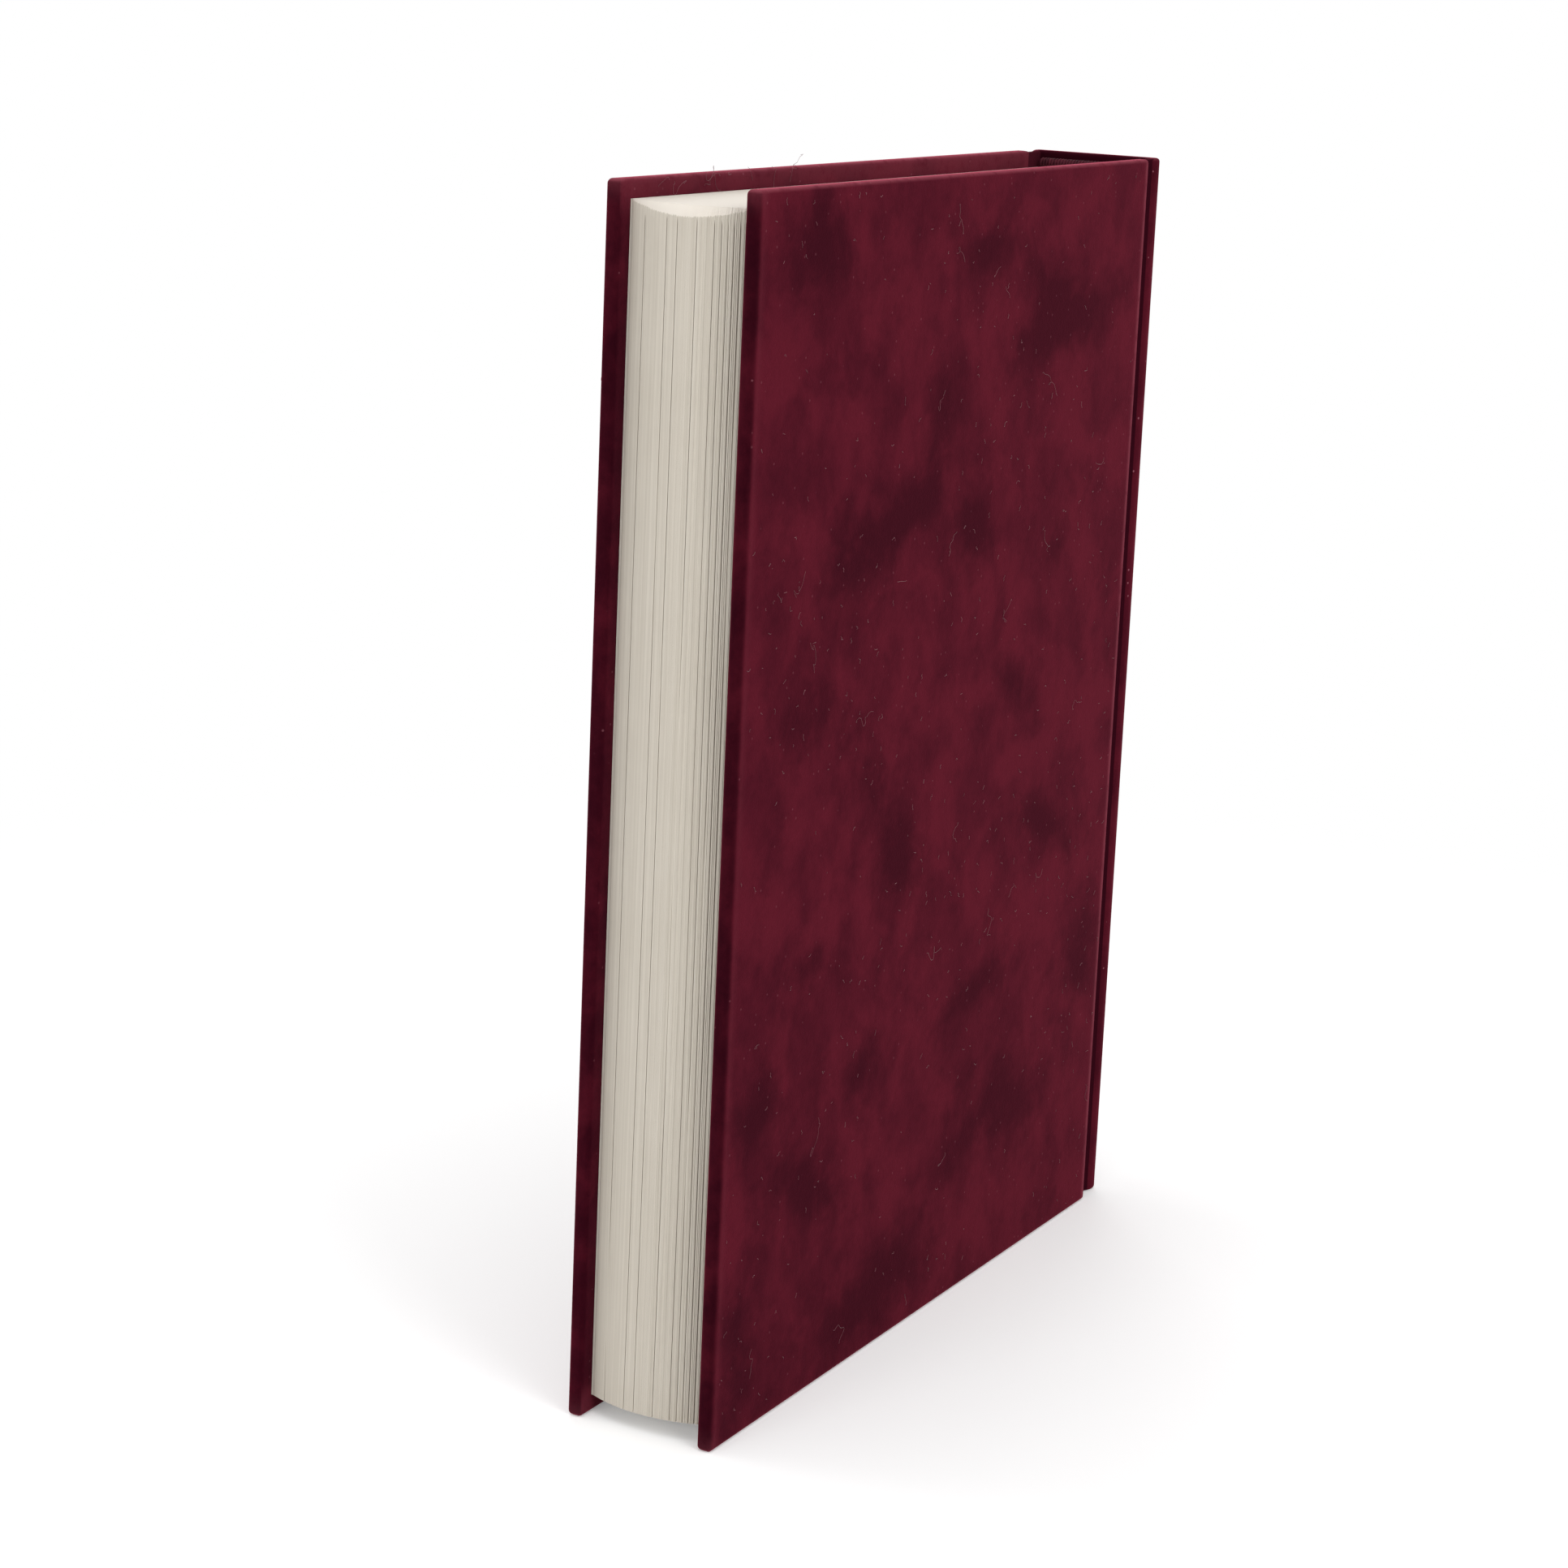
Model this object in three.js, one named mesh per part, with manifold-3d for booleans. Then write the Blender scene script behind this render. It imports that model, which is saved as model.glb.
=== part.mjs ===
// A case-bound book: sewn pages in a flat-backed case covered in dark red velvet cloth.
// Millimetres, +Z from tail to head, spine towards +X, front cover towards +Y.
// The origin is the middle of the book's footprint, on the surface that it stands on.

import * as THREE from 'three';
import { RoundedBoxGeometry } from 'three/addons/geometries/RoundedBoxGeometry.js';
import { mergeVertices } from 'three/addons/utils/BufferGeometryUtils.js';
import Module from 'manifold-3d';

// Driving dimensions of the case
const COVER_HEIGHT = 240;
const COVERED_BOARD_WIDTH = 172;
const JOINT_WIDTH = 9;
const BOARD_THICKNESS = 2.3;
const SPINE_BOARD_THICKNESS = 1.8;
const CLOTH_THICKNESS = 0.4;
const TURN_IN_WIDTH = 15;
const EDGE_RADIUS = 1;
const SPINE_CORNER_RADIUS = 1.5;
const SPINE_EDGE_INSET = 1.05;
const JOINT_FLAT_WIDTH = 2.1;
const SPINE_SHOULDER_WIDTH = 0.4;

// Driving dimensions of the pages and what is glued to them
const SQUARE = 3.7;
const PAGES_THICKNESS = 25.2;
const SECTION_COUNT = 18;
const FORE_EDGE_BOW = 2.75;
const SECTION_GROOVE_WIDTH = 0.14;
const SECTION_GROOVE_DEPTH = 0.3;
const FOLD_DEPTH = 0.4;
const PAPER_THICKNESS = 0.15;
const LINING_THICKNESS = 0.6;
const HOLLOW_BACK = 0.8;
const BAND_RADIUS = 1.1;
const BAND_TAPE_THICKNESS = 0.3;
const BAND_TAPE_LENGTH = 11;
const BAND_END_MARGIN = 0.4;
const THREAD_PITCH = 1.3;
const THREAD_RELIEF = 0.2;

// Clearances: a line of glue between two layers, and the cloth's gap where a cover bends away
const GLUE_LINE = 0.05;
const JOINT_GAP = 0.3;

// Fineness of the round stretches
const EDGE_STEPS = 3;
const CURVE_STEPS = 10;
const FOLD_STEPS = 6;
const THREAD_STEPS = 4;
const BAND_SIDES = 10;

// Layers through the thickness, each from its face nearest the pages outwards
const pagesHalf = PAGES_THICKNESS / 2;
const flyleafInner = pagesHalf + GLUE_LINE;
const flyleafOuter = flyleafInner + PAPER_THICKNESS;
const pastedownInner = flyleafOuter + GLUE_LINE;
const pastedownOuter = pastedownInner + PAPER_THICKNESS;
const turnInInner = pastedownOuter + GLUE_LINE;
const turnInOuter = turnInInner + CLOTH_THICKNESS;
const boardInner = turnInOuter + GLUE_LINE;
const boardOuter = boardInner + BOARD_THICKNESS;
const coverHalf = boardOuter + GLUE_LINE + CLOTH_THICKNESS;
const wrap = CLOTH_THICKNESS + GLUE_LINE;

// Places along the book's width, from the fore edge to the spine
const spineFace = (COVERED_BOARD_WIDTH + JOINT_WIDTH) / 2;
const foreEdge = -spineFace;
const boardEnd = foreEdge + COVERED_BOARD_WIDTH;
const spineBoardOuter = spineFace - wrap;
const spineBoardInner = spineBoardOuter - SPINE_BOARD_THICKNESS;
const spineTurnInFace = spineBoardInner - wrap;
const liningOuter = spineTurnInFace - HOLLOW_BACK;
const liningInner = liningOuter - LINING_THICKNESS;
const pagesBack = liningInner - GLUE_LINE;
const pagesFront = foreEdge + SQUARE;

// Heights
const midHeight = COVER_HEIGHT / 2;
const pagesBottom = SQUARE;
const pagesTop = COVER_HEIGHT - SQUARE;
const pagesHeight = pagesTop - pagesBottom;

const wasm = await Module();
wasm.setup();

const velvet = new THREE.MeshStandardMaterial({ color: 0x5c1a28, roughness: 0.95, metalness: 0 });
const board = new THREE.MeshStandardMaterial({ color: 0x8d8478, roughness: 0.9, metalness: 0 });
const pagePaper = new THREE.MeshStandardMaterial({ color: 0xc4bcaf, roughness: 0.85, metalness: 0 });
const endPaper = new THREE.MeshStandardMaterial({ color: 0xe6ddcf, roughness: 0.85, metalness: 0 });
const gauze = new THREE.MeshStandardMaterial({ color: 0xd8d2c4, roughness: 0.95, metalness: 0 });
const thread = new THREE.MeshStandardMaterial({ color: 0x6e2234, roughness: 0.7, metalness: 0 });

// A closed solid for cutting and joining, from any closed geometry
function solidOf(geometry) {
  const bare = geometry.clone();
  bare.deleteAttribute('normal');
  bare.deleteAttribute('uv');
  const merged = mergeVertices(bare);
  const index = merged.index.array;
  const triangles = [];
  for (let i = 0; i < index.length; i += 3) {
    const [a, b, c] = [index[i], index[i + 1], index[i + 2]];
    if (a !== b && b !== c && c !== a) {
      triangles.push(a, b, c);
    }
  }
  return new wasm.Manifold(new wasm.Mesh({
    numProp: 3,
    vertProperties: Float32Array.from(merged.attributes.position.array),
    triVerts: Uint32Array.from(triangles),
  }));
}

function geometryOf(solid) {
  const mesh = solid.getMesh();
  const geometry = new THREE.BufferGeometry();
  geometry.setAttribute('position', new THREE.BufferAttribute(mesh.vertProperties, 3));
  geometry.setIndex(new THREE.BufferAttribute(mesh.triVerts, 1));
  geometry.computeVertexNormals();
  return geometry;
}

// A block between two corners
function blockBetween(low, high) {
  const size = high.map((value, axis) => value - low[axis]);
  const middle = high.map((value, axis) => (value + low[axis]) / 2);
  return new THREE.BoxGeometry(...size).translate(...middle);
}

// A flat outline raised from one height to another
function raise(shape, bottom, top) {
  const geometry = new THREE.ExtrudeGeometry(shape, {
    depth: top - bottom,
    bevelEnabled: false,
    curveSegments: CURVE_STEPS,
  });
  return geometry.translate(0, 0, bottom);
}

function named(name, geometry, material) {
  const mesh = new THREE.Mesh(geometry, material);
  mesh.name = name;
  return mesh;
}

// The pages: sewn sections with a rounded fold each at the back and a groove between
// neighbours at the fore edge, which bows outwards as an arc of one circle.
function pagesOutline() {
  const bowRadius = (pagesHalf ** 2 + FORE_EDGE_BOW ** 2) / (2 * FORE_EDGE_BOW);
  const bowCentre = pagesFront - FORE_EDGE_BOW + bowRadius;
  const bowAt = (y) => bowCentre - Math.sqrt(bowRadius ** 2 - y ** 2);
  const sectionThickness = PAGES_THICKNESS / SECTION_COUNT;
  const grooveHalf = SECTION_GROOVE_WIDTH / 2;
  const shape = new THREE.Shape();

  shape.moveTo(pagesBack - FOLD_DEPTH, pagesHalf);
  shape.lineTo(bowAt(pagesHalf), pagesHalf);
  for (let section = 1; section < SECTION_COUNT; section += 1) {
    const y = pagesHalf - section * sectionThickness;
    const middle = y + sectionThickness / 2;
    shape.lineTo(bowAt(middle), middle);
    shape.lineTo(bowAt(y + grooveHalf), y + grooveHalf);
    shape.lineTo(bowAt(y) + SECTION_GROOVE_DEPTH, y);
    shape.lineTo(bowAt(y - grooveHalf), y - grooveHalf);
  }
  shape.lineTo(bowAt(-pagesHalf), -pagesHalf);
  shape.lineTo(pagesBack - FOLD_DEPTH, -pagesHalf);
  for (let section = 0; section < SECTION_COUNT; section += 1) {
    const middle = -pagesHalf + (section + 0.5) * sectionThickness;
    const lastStep = section === SECTION_COUNT - 1 ? FOLD_STEPS - 1 : FOLD_STEPS;
    for (let step = 1; step <= lastStep; step += 1) {
      const angle = Math.PI * (step / FOLD_STEPS - 0.5);
      const x = pagesBack - FOLD_DEPTH + FOLD_DEPTH * Math.cos(angle);
      shape.lineTo(x, middle + (sectionThickness / 2) * Math.sin(angle));
    }
  }
  shape.closePath();
  return shape;
}

// A free endpaper against one side of the pages; side is 1 for the front and -1 for the back
function flyleaf(side) {
  const faces = [side * flyleafInner, side * flyleafOuter].sort((a, b) => a - b);
  return blockBetween(
    [pagesFront, faces[0], pagesBottom],
    [pagesBack - FOLD_DEPTH, faces[1], pagesTop],
  );
}

// A band for the head: thread wound round a cord that lies on the ends of the folds,
// and the tape that holds it to the back of the pages. Built for the head, at z from the pages' top.
function bandGeometry() {
  const halfLength = pagesHalf - BAND_END_MARGIN;
  const turns = Math.round((2 * halfLength) / THREAD_PITCH);
  const steps = turns * THREAD_STEPS;
  const profile = [new THREE.Vector2(0, -halfLength)];
  for (let step = 0; step <= steps; step += 1) {
    const phase = (step % THREAD_STEPS) / THREAD_STEPS;
    const radius = BAND_RADIUS - THREAD_RELIEF * (1 - Math.sin(Math.PI * phase));
    profile.push(new THREE.Vector2(radius, -halfLength + (2 * halfLength * step) / steps));
  }
  profile.push(new THREE.Vector2(0, halfLength));
  const tapeInner = pagesBack + GLUE_LINE;
  const tapeOuter = tapeInner + BAND_TAPE_THICKNESS;
  const cordX = tapeOuter - BAND_RADIUS + THREAD_RELIEF;
  const cordZ = GLUE_LINE + BAND_RADIUS;
  const cord = new THREE.LatheGeometry(profile, BAND_SIDES).translate(cordX, 0, cordZ);
  const tape = blockBetween([tapeInner, -halfLength, -BAND_TAPE_LENGTH], [tapeOuter, halfLength, cordZ]);
  return geometryOf(solidOf(cord).add(solidOf(tape)));
}

// The outer face of the cloth from one board round the spine to the other, seen from the head.
// It lies in the joint, rises to the spine's shoulder and rounds the spine board's edge.
// The inner face of the cloth is the same line, set in by inset.
function traceSpineFace(shape, inset) {
  const face = spineFace - inset;
  const shoulder = coverHalf - SPINE_EDGE_INSET - inset;
  const floor = turnInInner + wrap + CLOTH_THICKNESS - inset;
  const radius = SPINE_CORNER_RADIUS - inset;
  const start = boardEnd + JOINT_GAP;
  const foot = boardEnd + JOINT_FLAT_WIDTH;
  const corner = face - radius;
  const rise = corner - SPINE_SHOULDER_WIDTH;
  const half = (foot + rise) / 2;
  shape.moveTo(start, -floor);
  shape.lineTo(foot, -floor);
  shape.bezierCurveTo(half, -floor, half, -shoulder, rise, -shoulder);
  shape.lineTo(corner, -shoulder);
  shape.absarc(corner, -shoulder + radius, radius, -Math.PI / 2, 0, false);
  shape.absarc(corner, shoulder - radius, radius, 0, Math.PI / 2, false);
  shape.lineTo(rise, shoulder);
  shape.bezierCurveTo(half, shoulder, half, floor, foot, floor);
  shape.lineTo(start, floor);
}

// Cloth over the spine and both joints, turned in over the spine board at head and tail
function spineClothGeometry() {
  const body = new THREE.Shape();
  traceSpineFace(body, 0);
  body.lineTo(boardEnd + JOINT_GAP, turnInInner);
  body.lineTo(spineTurnInFace, turnInInner);
  body.lineTo(spineTurnInFace, -turnInInner);
  body.lineTo(boardEnd + JOINT_GAP, -turnInInner);
  body.closePath();

  const inside = new THREE.Shape();
  traceSpineFace(inside, CLOTH_THICKNESS);
  inside.closePath();

  const pocket = blockBetween(
    [spineBoardInner - GLUE_LINE, -spineBoardHalf() - GLUE_LINE, CLOTH_THICKNESS],
    [spineBoardOuter + GLUE_LINE, spineBoardHalf() + GLUE_LINE, COVER_HEIGHT - CLOTH_THICKNESS],
  );
  const cloth = solidOf(raise(body, 0, COVER_HEIGHT))
    .subtract(solidOf(raise(inside, TURN_IN_WIDTH, COVER_HEIGHT - TURN_IN_WIDTH)))
    .subtract(solidOf(pocket));
  return geometryOf(cloth);
}

function spineBoardHalf() {
  return coverHalf - SPINE_EDGE_INSET - wrap;
}

// The spine board's two long edges are eased where the cloth turns round them
function spineBoardGeometry() {
  const half = spineBoardHalf();
  const radius = SPINE_CORNER_RADIUS - wrap;
  const shape = new THREE.Shape();
  shape.moveTo(spineBoardInner, -half);
  shape.lineTo(spineBoardOuter - radius, -half);
  shape.absarc(spineBoardOuter - radius, -half + radius, radius, -Math.PI / 2, 0, false);
  shape.absarc(spineBoardOuter - radius, half - radius, radius, 0, Math.PI / 2, false);
  shape.lineTo(spineBoardInner, half);
  shape.closePath();
  return raise(shape, wrap, COVER_HEIGHT - wrap);
}

// Cloth round one cover board: over the outer face and all four edges, and turned in
// on the inner face along the head, the tail and the fore edge.
function coverClothGeometry() {
  const thickness = coverHalf - turnInInner;
  const outside = new RoundedBoxGeometry(
    COVERED_BOARD_WIDTH, thickness, COVER_HEIGHT, EDGE_STEPS, EDGE_RADIUS,
  ).translate((foreEdge + boardEnd) / 2, (turnInInner + coverHalf) / 2, midHeight);
  const pocket = blockBetween(
    [foreEdge + CLOTH_THICKNESS, turnInOuter, CLOTH_THICKNESS],
    [boardEnd - CLOTH_THICKNESS, coverHalf - CLOTH_THICKNESS, COVER_HEIGHT - CLOTH_THICKNESS],
  );
  const window = blockBetween(
    [foreEdge + TURN_IN_WIDTH, pastedownInner, TURN_IN_WIDTH],
    [boardEnd - CLOTH_THICKNESS, boardInner, COVER_HEIGHT - TURN_IN_WIDTH],
  );
  return geometryOf(solidOf(outside).subtract(solidOf(pocket)).subtract(solidOf(window)));
}

function coverBoardGeometry() {
  return blockBetween(
    [foreEdge + wrap, boardInner, wrap],
    [boardEnd - wrap, boardOuter, COVER_HEIGHT - wrap],
  );
}

// The pasted-down endpaper, with the infill card behind it that makes the board's inner face
// level with the turned-in cloth.
function pastedownGeometry() {
  const sheet = blockBetween(
    [pagesFront, pastedownInner, pagesBottom],
    [boardEnd, pastedownOuter, pagesTop],
  );
  const infill = blockBetween(
    [foreEdge + TURN_IN_WIDTH + GLUE_LINE, pastedownInner, TURN_IN_WIDTH + GLUE_LINE],
    [boardEnd - wrap, turnInOuter, COVER_HEIGHT - TURN_IN_WIDTH - GLUE_LINE],
  );
  return geometryOf(solidOf(sheet).add(solidOf(infill)));
}

// One cover, on the +Y side. Turned half round about the book's long middle line it is the other.
function cover(name) {
  const group = new THREE.Group();
  group.add(named(`${name}_board`, coverBoardGeometry(), board));
  group.add(named(`${name}_cover_cloth`, coverClothGeometry(), velvet));
  group.add(named(`${name}_pastedown`, pastedownGeometry(), endPaper));
  return group;
}

const book = new THREE.Group();

book.add(named('pages', raise(pagesOutline(), pagesBottom, pagesTop), pagePaper));
book.add(named('front_flyleaf', flyleaf(1), endPaper));
book.add(named('back_flyleaf', flyleaf(-1), endPaper));

const lining = blockBetween(
  [liningInner, -pagesHalf, BAND_TAPE_LENGTH + GLUE_LINE - pagesHeight / 2],
  [liningOuter, pagesHalf, pagesHeight / 2 - BAND_TAPE_LENGTH - GLUE_LINE],
);
const liningMesh = named('spine_lining', lining, gauze);
liningMesh.position.z = midHeight;
book.add(liningMesh);

const headband = named('headband', bandGeometry(), thread);
headband.position.z = pagesTop;
book.add(headband);
const tailband = named('tailband', bandGeometry(), thread);
tailband.rotation.x = Math.PI;
tailband.position.z = pagesBottom;
book.add(tailband);

book.add(named('spine_board', spineBoardGeometry(), board));
book.add(named('spine_cloth', spineClothGeometry(), velvet));

const frontCover = cover('front');
book.add(frontCover);
const backCover = cover('back');
backCover.rotation.x = Math.PI;
backCover.position.z = COVER_HEIGHT;
book.add(backCover);

export default book;
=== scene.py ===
import math

import bmesh
import bpy
import numpy as np
from mathutils import Matrix, Vector


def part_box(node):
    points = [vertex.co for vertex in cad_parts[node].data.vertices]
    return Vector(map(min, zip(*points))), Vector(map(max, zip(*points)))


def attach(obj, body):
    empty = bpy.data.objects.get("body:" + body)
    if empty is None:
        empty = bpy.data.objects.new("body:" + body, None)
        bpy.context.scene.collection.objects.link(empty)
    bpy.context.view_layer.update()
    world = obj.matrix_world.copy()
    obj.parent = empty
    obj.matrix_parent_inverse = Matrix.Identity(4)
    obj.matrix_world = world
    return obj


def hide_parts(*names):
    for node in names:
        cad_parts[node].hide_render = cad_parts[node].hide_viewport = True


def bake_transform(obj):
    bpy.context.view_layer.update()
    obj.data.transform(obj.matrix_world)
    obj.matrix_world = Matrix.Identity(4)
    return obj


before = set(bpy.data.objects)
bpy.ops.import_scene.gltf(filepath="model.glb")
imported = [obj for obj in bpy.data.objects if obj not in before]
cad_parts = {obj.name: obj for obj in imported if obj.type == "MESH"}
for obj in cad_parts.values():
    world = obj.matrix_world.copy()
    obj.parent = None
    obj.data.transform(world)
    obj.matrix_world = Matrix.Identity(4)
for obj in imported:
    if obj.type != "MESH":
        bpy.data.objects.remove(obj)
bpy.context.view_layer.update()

# A case-bound book in dark red velvet, standing on its tail.
# Lengths are in metres, as in the frame: +Z from tail to head, +X towards the spine,
# +Y towards the front cover. Sizes of the book come from the frame's boxes.

MM = 0.001
scene = bpy.context.scene

# Camera, as the photograph was taken
IMAGE_WIDTH = 1932
SENSOR_WIDTH = 36.0
CAMERA_PLACE = Vector((-0.63731, -0.32582, 0.28297))
CAMERA_AZIMUTH = math.radians(-61.207)
CAMERA_ELEVATION = math.radians(12.089)
CAMERA_ROLL = math.radians(2.482)
FOCAL_PIXELS = 4341.1
CENTRE_ROW = 860.0

# Case cloth
BOARD_EDGE_RADIUS = 1.0 * MM
BOARD_CORNER_RADIUS = 0.8 * MM
JOINT_FILLET = 0.7 * MM
JOINT_EDGE_RADIUS = 0.36 * MM
SPINE_EDGE_RADIUS = 0.8 * MM
SPINE_CORNER_RADIUS = 1.5 * MM
SPINE_EDGE_INSET = 1.05 * MM
JOINT_FLAT_WIDTH = 2.1 * MM
JOINT_CLOTH = 0.85 * MM
JOINT_DIP = 0.25 * MM
SPINE_SHOULDER_WIDTH = 0.4 * MM
SPINE_WALL = 2.7 * MM

# How finely the cloth is divided: rows up the book, columns across each stretch, and steps
# round each edge. The inner face moves on by its own step while the outer face turns.
ROW_STEP = 2.0 * MM
BOARD_COLUMNS = 44
JOINT_COLUMNS = 22
HALF_SPINE_COLUMNS = 8
ROUNDING_STEPS = 6
INNER_STEP_AT_BOARD_END = 0.09 * MM
INNER_STEP_AT_FILLET = 0.12 * MM
# More columns close to the fore edge and to the joint, where the painted highlights fade out
EDGE_COLUMNS = (0.6 * MM, 1.4 * MM, 2.6 * MM)
RIDGE_COLUMNS = (2.2 * MM, 1.2 * MM, 0.4 * MM)

# Wear of the pile and painted highlights on it: how far each kind reaches, then how strong it is
# Corners are worn; head and tail rims are partly worn, partly a painted highlight for the light from
# above
RIM_WIDTH = 0.65 * MM
# The ridge along the board's end is a painted highlight
RIDGE_WIDTH = 1.1 * MM
RIDGE_INSET = 1.2 * MM
CORNER_WEAR_REACH = 4.0 * MM
# The turn-in near head and tail is given painted light
TURN_IN_LIGHT_REACH = 7.0 * MM
SPINE_RIM_WEAR_AND_HIGHLIGHT = 0.35
CORNER_WEAR = 0.25
RIDGE_HIGHLIGHT = 0.75
# The strip beside the fore edge's rounding is given a painted highlight
FORE_EDGE_HIGHLIGHT = 0.08
TURN_IN_HIGHLIGHT = 0.30

# How dark the cloth is painted beside the marks: 0 is plain, 1 is dark, below 0 is lighter; all but
# the spine's value are painted shade or painted light
SPINE_SHADE = 0.02
# Painted light over the joint's groove, against its shadow
JOINT_PAINTED_LIGHT = -0.35
# Painted shade on the fore edge's rounding, and painted light on the strip beside it
FORE_EDGE_PAINTED_SHADE = 0.45
FORE_EDGE_PAINTED_LIGHT = 0.20
# Painted shade on the inside of the board, and painted light near head and tail
TURN_IN_PAINTED_SHADE = 0.5
TURN_IN_PAINTED_LIGHT = 0.9
# Painted shade on the spine's inner wall, in its hollow
INSIDE_SPINE_PAINTED_SHADE = 1.5

# Where the pile of a cover is brushed dark, in mm: distance from the fore edge and from
# the tail, half length, half width, slant in degrees, and how deep the shade is
BRUSHED_MARKS = (
    (25, 230, 12, 8, 0, 0.8), (95, 224, 10, 6, 20, 0.7), (125, 215, 15, 4, -28, 0.7),
    (132, 207, 24, 6, 8, 1.0), (77, 193, 9, 7, 60, 0.8), (68, 176, 17, 6, 16, 0.8),
    (43, 169, 15, 9, 10, 0.8), (93, 167, 10, 7, -40, 1.0), (135, 159, 7, 4, 30, 0.6),
    (25, 139, 13, 6, 0, 0.6), (55, 122, 15, 5, -38, 0.6), (67, 103, 10, 7, -30, 1.0),
    (118, 132, 10, 5, -32, 0.6), (138, 97, 18, 5, -25, 0.8), (13, 65, 11, 7, 20, 0.9),
    (32, 90, 13, 5, -10, 0.6), (55, 62, 11, 6, 0, 0.8), (105, 67, 18, 5, 12, 0.7),
    (160, 61, 10, 8, 70, 0.9), (36, 43, 17, 7, -25, 0.9), (122, 37, 22, 10, -20, 0.7),
    (9, 20, 9, 13, 0, 0.8), (65, 12, 26, 8, 5, 1.0), (100, 31, 14, 4, 28, 0.5),
)

# Pages
LEAF_COUNT = 168
SECTION_COUNT = 18
FORE_EDGE_BOW = 2.75 * MM
FOLD_DEPTH = 0.4 * MM
HEAD_CORNER_HEIGHT = 2.3 * MM
HEAD_CORNER_DEPTH = 0.9 * MM
PAGE_ROWS = 30
HEAD_CORNER_ROWS = 6
PAGE_UNEVENNESS = 0.14 * MM
PAGE_WAVINESS = 0.15 * MM
PAGE_SWAY = 1.6 * MM
# Share of its place that a leaf fills, and how much thinner it may get at the fore edge
LEAF_FILL = 0.97
LEAF_THINNING = 0.12
OPEN_DEPTH = 0.4 * MM
OPEN_FADE = 1.2 * MM
# Where the pages stand open a hair, as a share of their thickness from the back cover
OPEN_PLACES = (0.04, 0.075, 0.115, 0.16, 0.205, 0.26, 0.395, 0.56, 0.66, 0.865)

# Endpapers
PASTE_THICKNESS = 0.05 * MM
ENDPAPER_BOARD_COLUMNS = 12
ENDPAPER_JOINT_COLUMNS = 16
ENDPAPER_ROWS = 24

# Headbands
BAND_CORE_RADIUS = 0.8 * MM
BAND_THREAD_RADIUS = 0.26 * MM
BAND_TURNS = 34
BAND_TAPE_THICKNESS = 0.3 * MM
BAND_TAPE_EDGE = 0.08 * MM
# Share of its radius by which the cord stands off the middle of the tape
BAND_STAND_OFF = 0.9

# Lint
HAIR_COUNT = 34
FLUFF_COUNT = 620
HEAD_HAIR_COUNT = 9
HAIR = {"Fibre Length": 4.2 * MM, "Curl": 9.0 * MM, "Curl Pitch": 2.3 * MM, "Bends": 16,
        "Radius": 0.035 * MM, "Rise": 0.5 * MM}
FLUFF = {"Fibre Length": 0.75 * MM, "Curl": 1.6 * MM, "Curl Pitch": 0.55 * MM, "Bends": 7,
         "Radius": 0.045 * MM, "Rise": 0.3 * MM}
HEAD_HAIR_RUN = 62 * MM
HEAD_HAIR_BAND = 2.2 * MM
HEAD_HAIR_START = 12 * MM
HEAD_HAIR_DROP = 0.9 * MM
LINT_MARGIN = 2 * MM

# How far past the hinge line each endpaper reaches, along the book's width
JOINT_BEND_END = 0.2 * MM

# Floor and light. The floor turns white between two distances from the book.
FLOOR_REACH = 4.0
FLOOR_TONE = 0.88
FLOOR_GLOW = 0.22
WHITE_START = 0.16
WHITE_END = 0.46
ROOM_BRIGHTNESS = 0.48
LAMP_TARGET = Vector((0, 0, 0.12))
# Each soft lamp: its name, place, width and power in watts
LAMPS = (
    ("overhead", (-0.25, -0.15, 1.5), 1.2, 6.6),
    ("key", (-0.6, -1.5, 0.9), 1.0, 11.0),
    ("fore_edge_fill", (-1.7, 0.2, 0.6), 0.9, 7.0),
    ("spine_fill", (1.5, 0.9, 0.7), 1.2, 10.0),
    ("front_cover_fill", (-0.3, 1.8, 0.8), 1.2, 8.0),
)

cover_low, cover_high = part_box("front_cover_cloth")
spine_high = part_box("spine_cloth")[1]
pages_low, pages_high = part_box("pages")
pastedown_low, pastedown_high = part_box("front_pastedown")

FORE_EDGE = cover_low.x
BOARD_END = cover_high.x
SPINE_FACE = spine_high.x
HEIGHT = cover_high.z
COVER_OUTER = cover_high.y
COVER_INNER = cover_low.y
HINGE_X = (BOARD_END + SPINE_FACE) / 2


def named_object(name, mesh):
    obj = bpy.data.objects.new(name, mesh)
    scene.collection.objects.link(obj)
    return obj


def mesh_from(name, points, faces, smooth=True):
    """A mesh object from its points and faces, with every face turned outwards."""
    mesh = bpy.data.meshes.new(name)
    mesh.from_pydata([tuple(p) for p in points], [], faces)
    shell = bmesh.new()
    shell.from_mesh(mesh)
    bmesh.ops.remove_doubles(shell, verts=shell.verts, dist=1e-7)
    bmesh.ops.recalc_face_normals(shell, faces=shell.faces)
    shell.to_mesh(mesh)
    shell.free()
    for face in mesh.polygons:
        face.use_smooth = smooth
    if smooth:
        mesh.set_sharp_from_angle(angle=math.radians(60))
    return named_object(name, mesh)


def store(obj, name, values, kind="FLOAT"):
    """Keeps a number or a place for each point of the mesh, for its material to read."""
    layer = obj.data.attributes.new(name, kind, "POINT")
    key = "value" if kind == "FLOAT" else "vector"
    layer.data.foreach_set(key, np.asarray(values, np.float32).ravel())


def points_of(obj):
    places = np.zeros(len(obj.data.vertices) * 3, np.float32)
    obj.data.vertices.foreach_get("co", places)
    return places.reshape(-1, 3)


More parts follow.
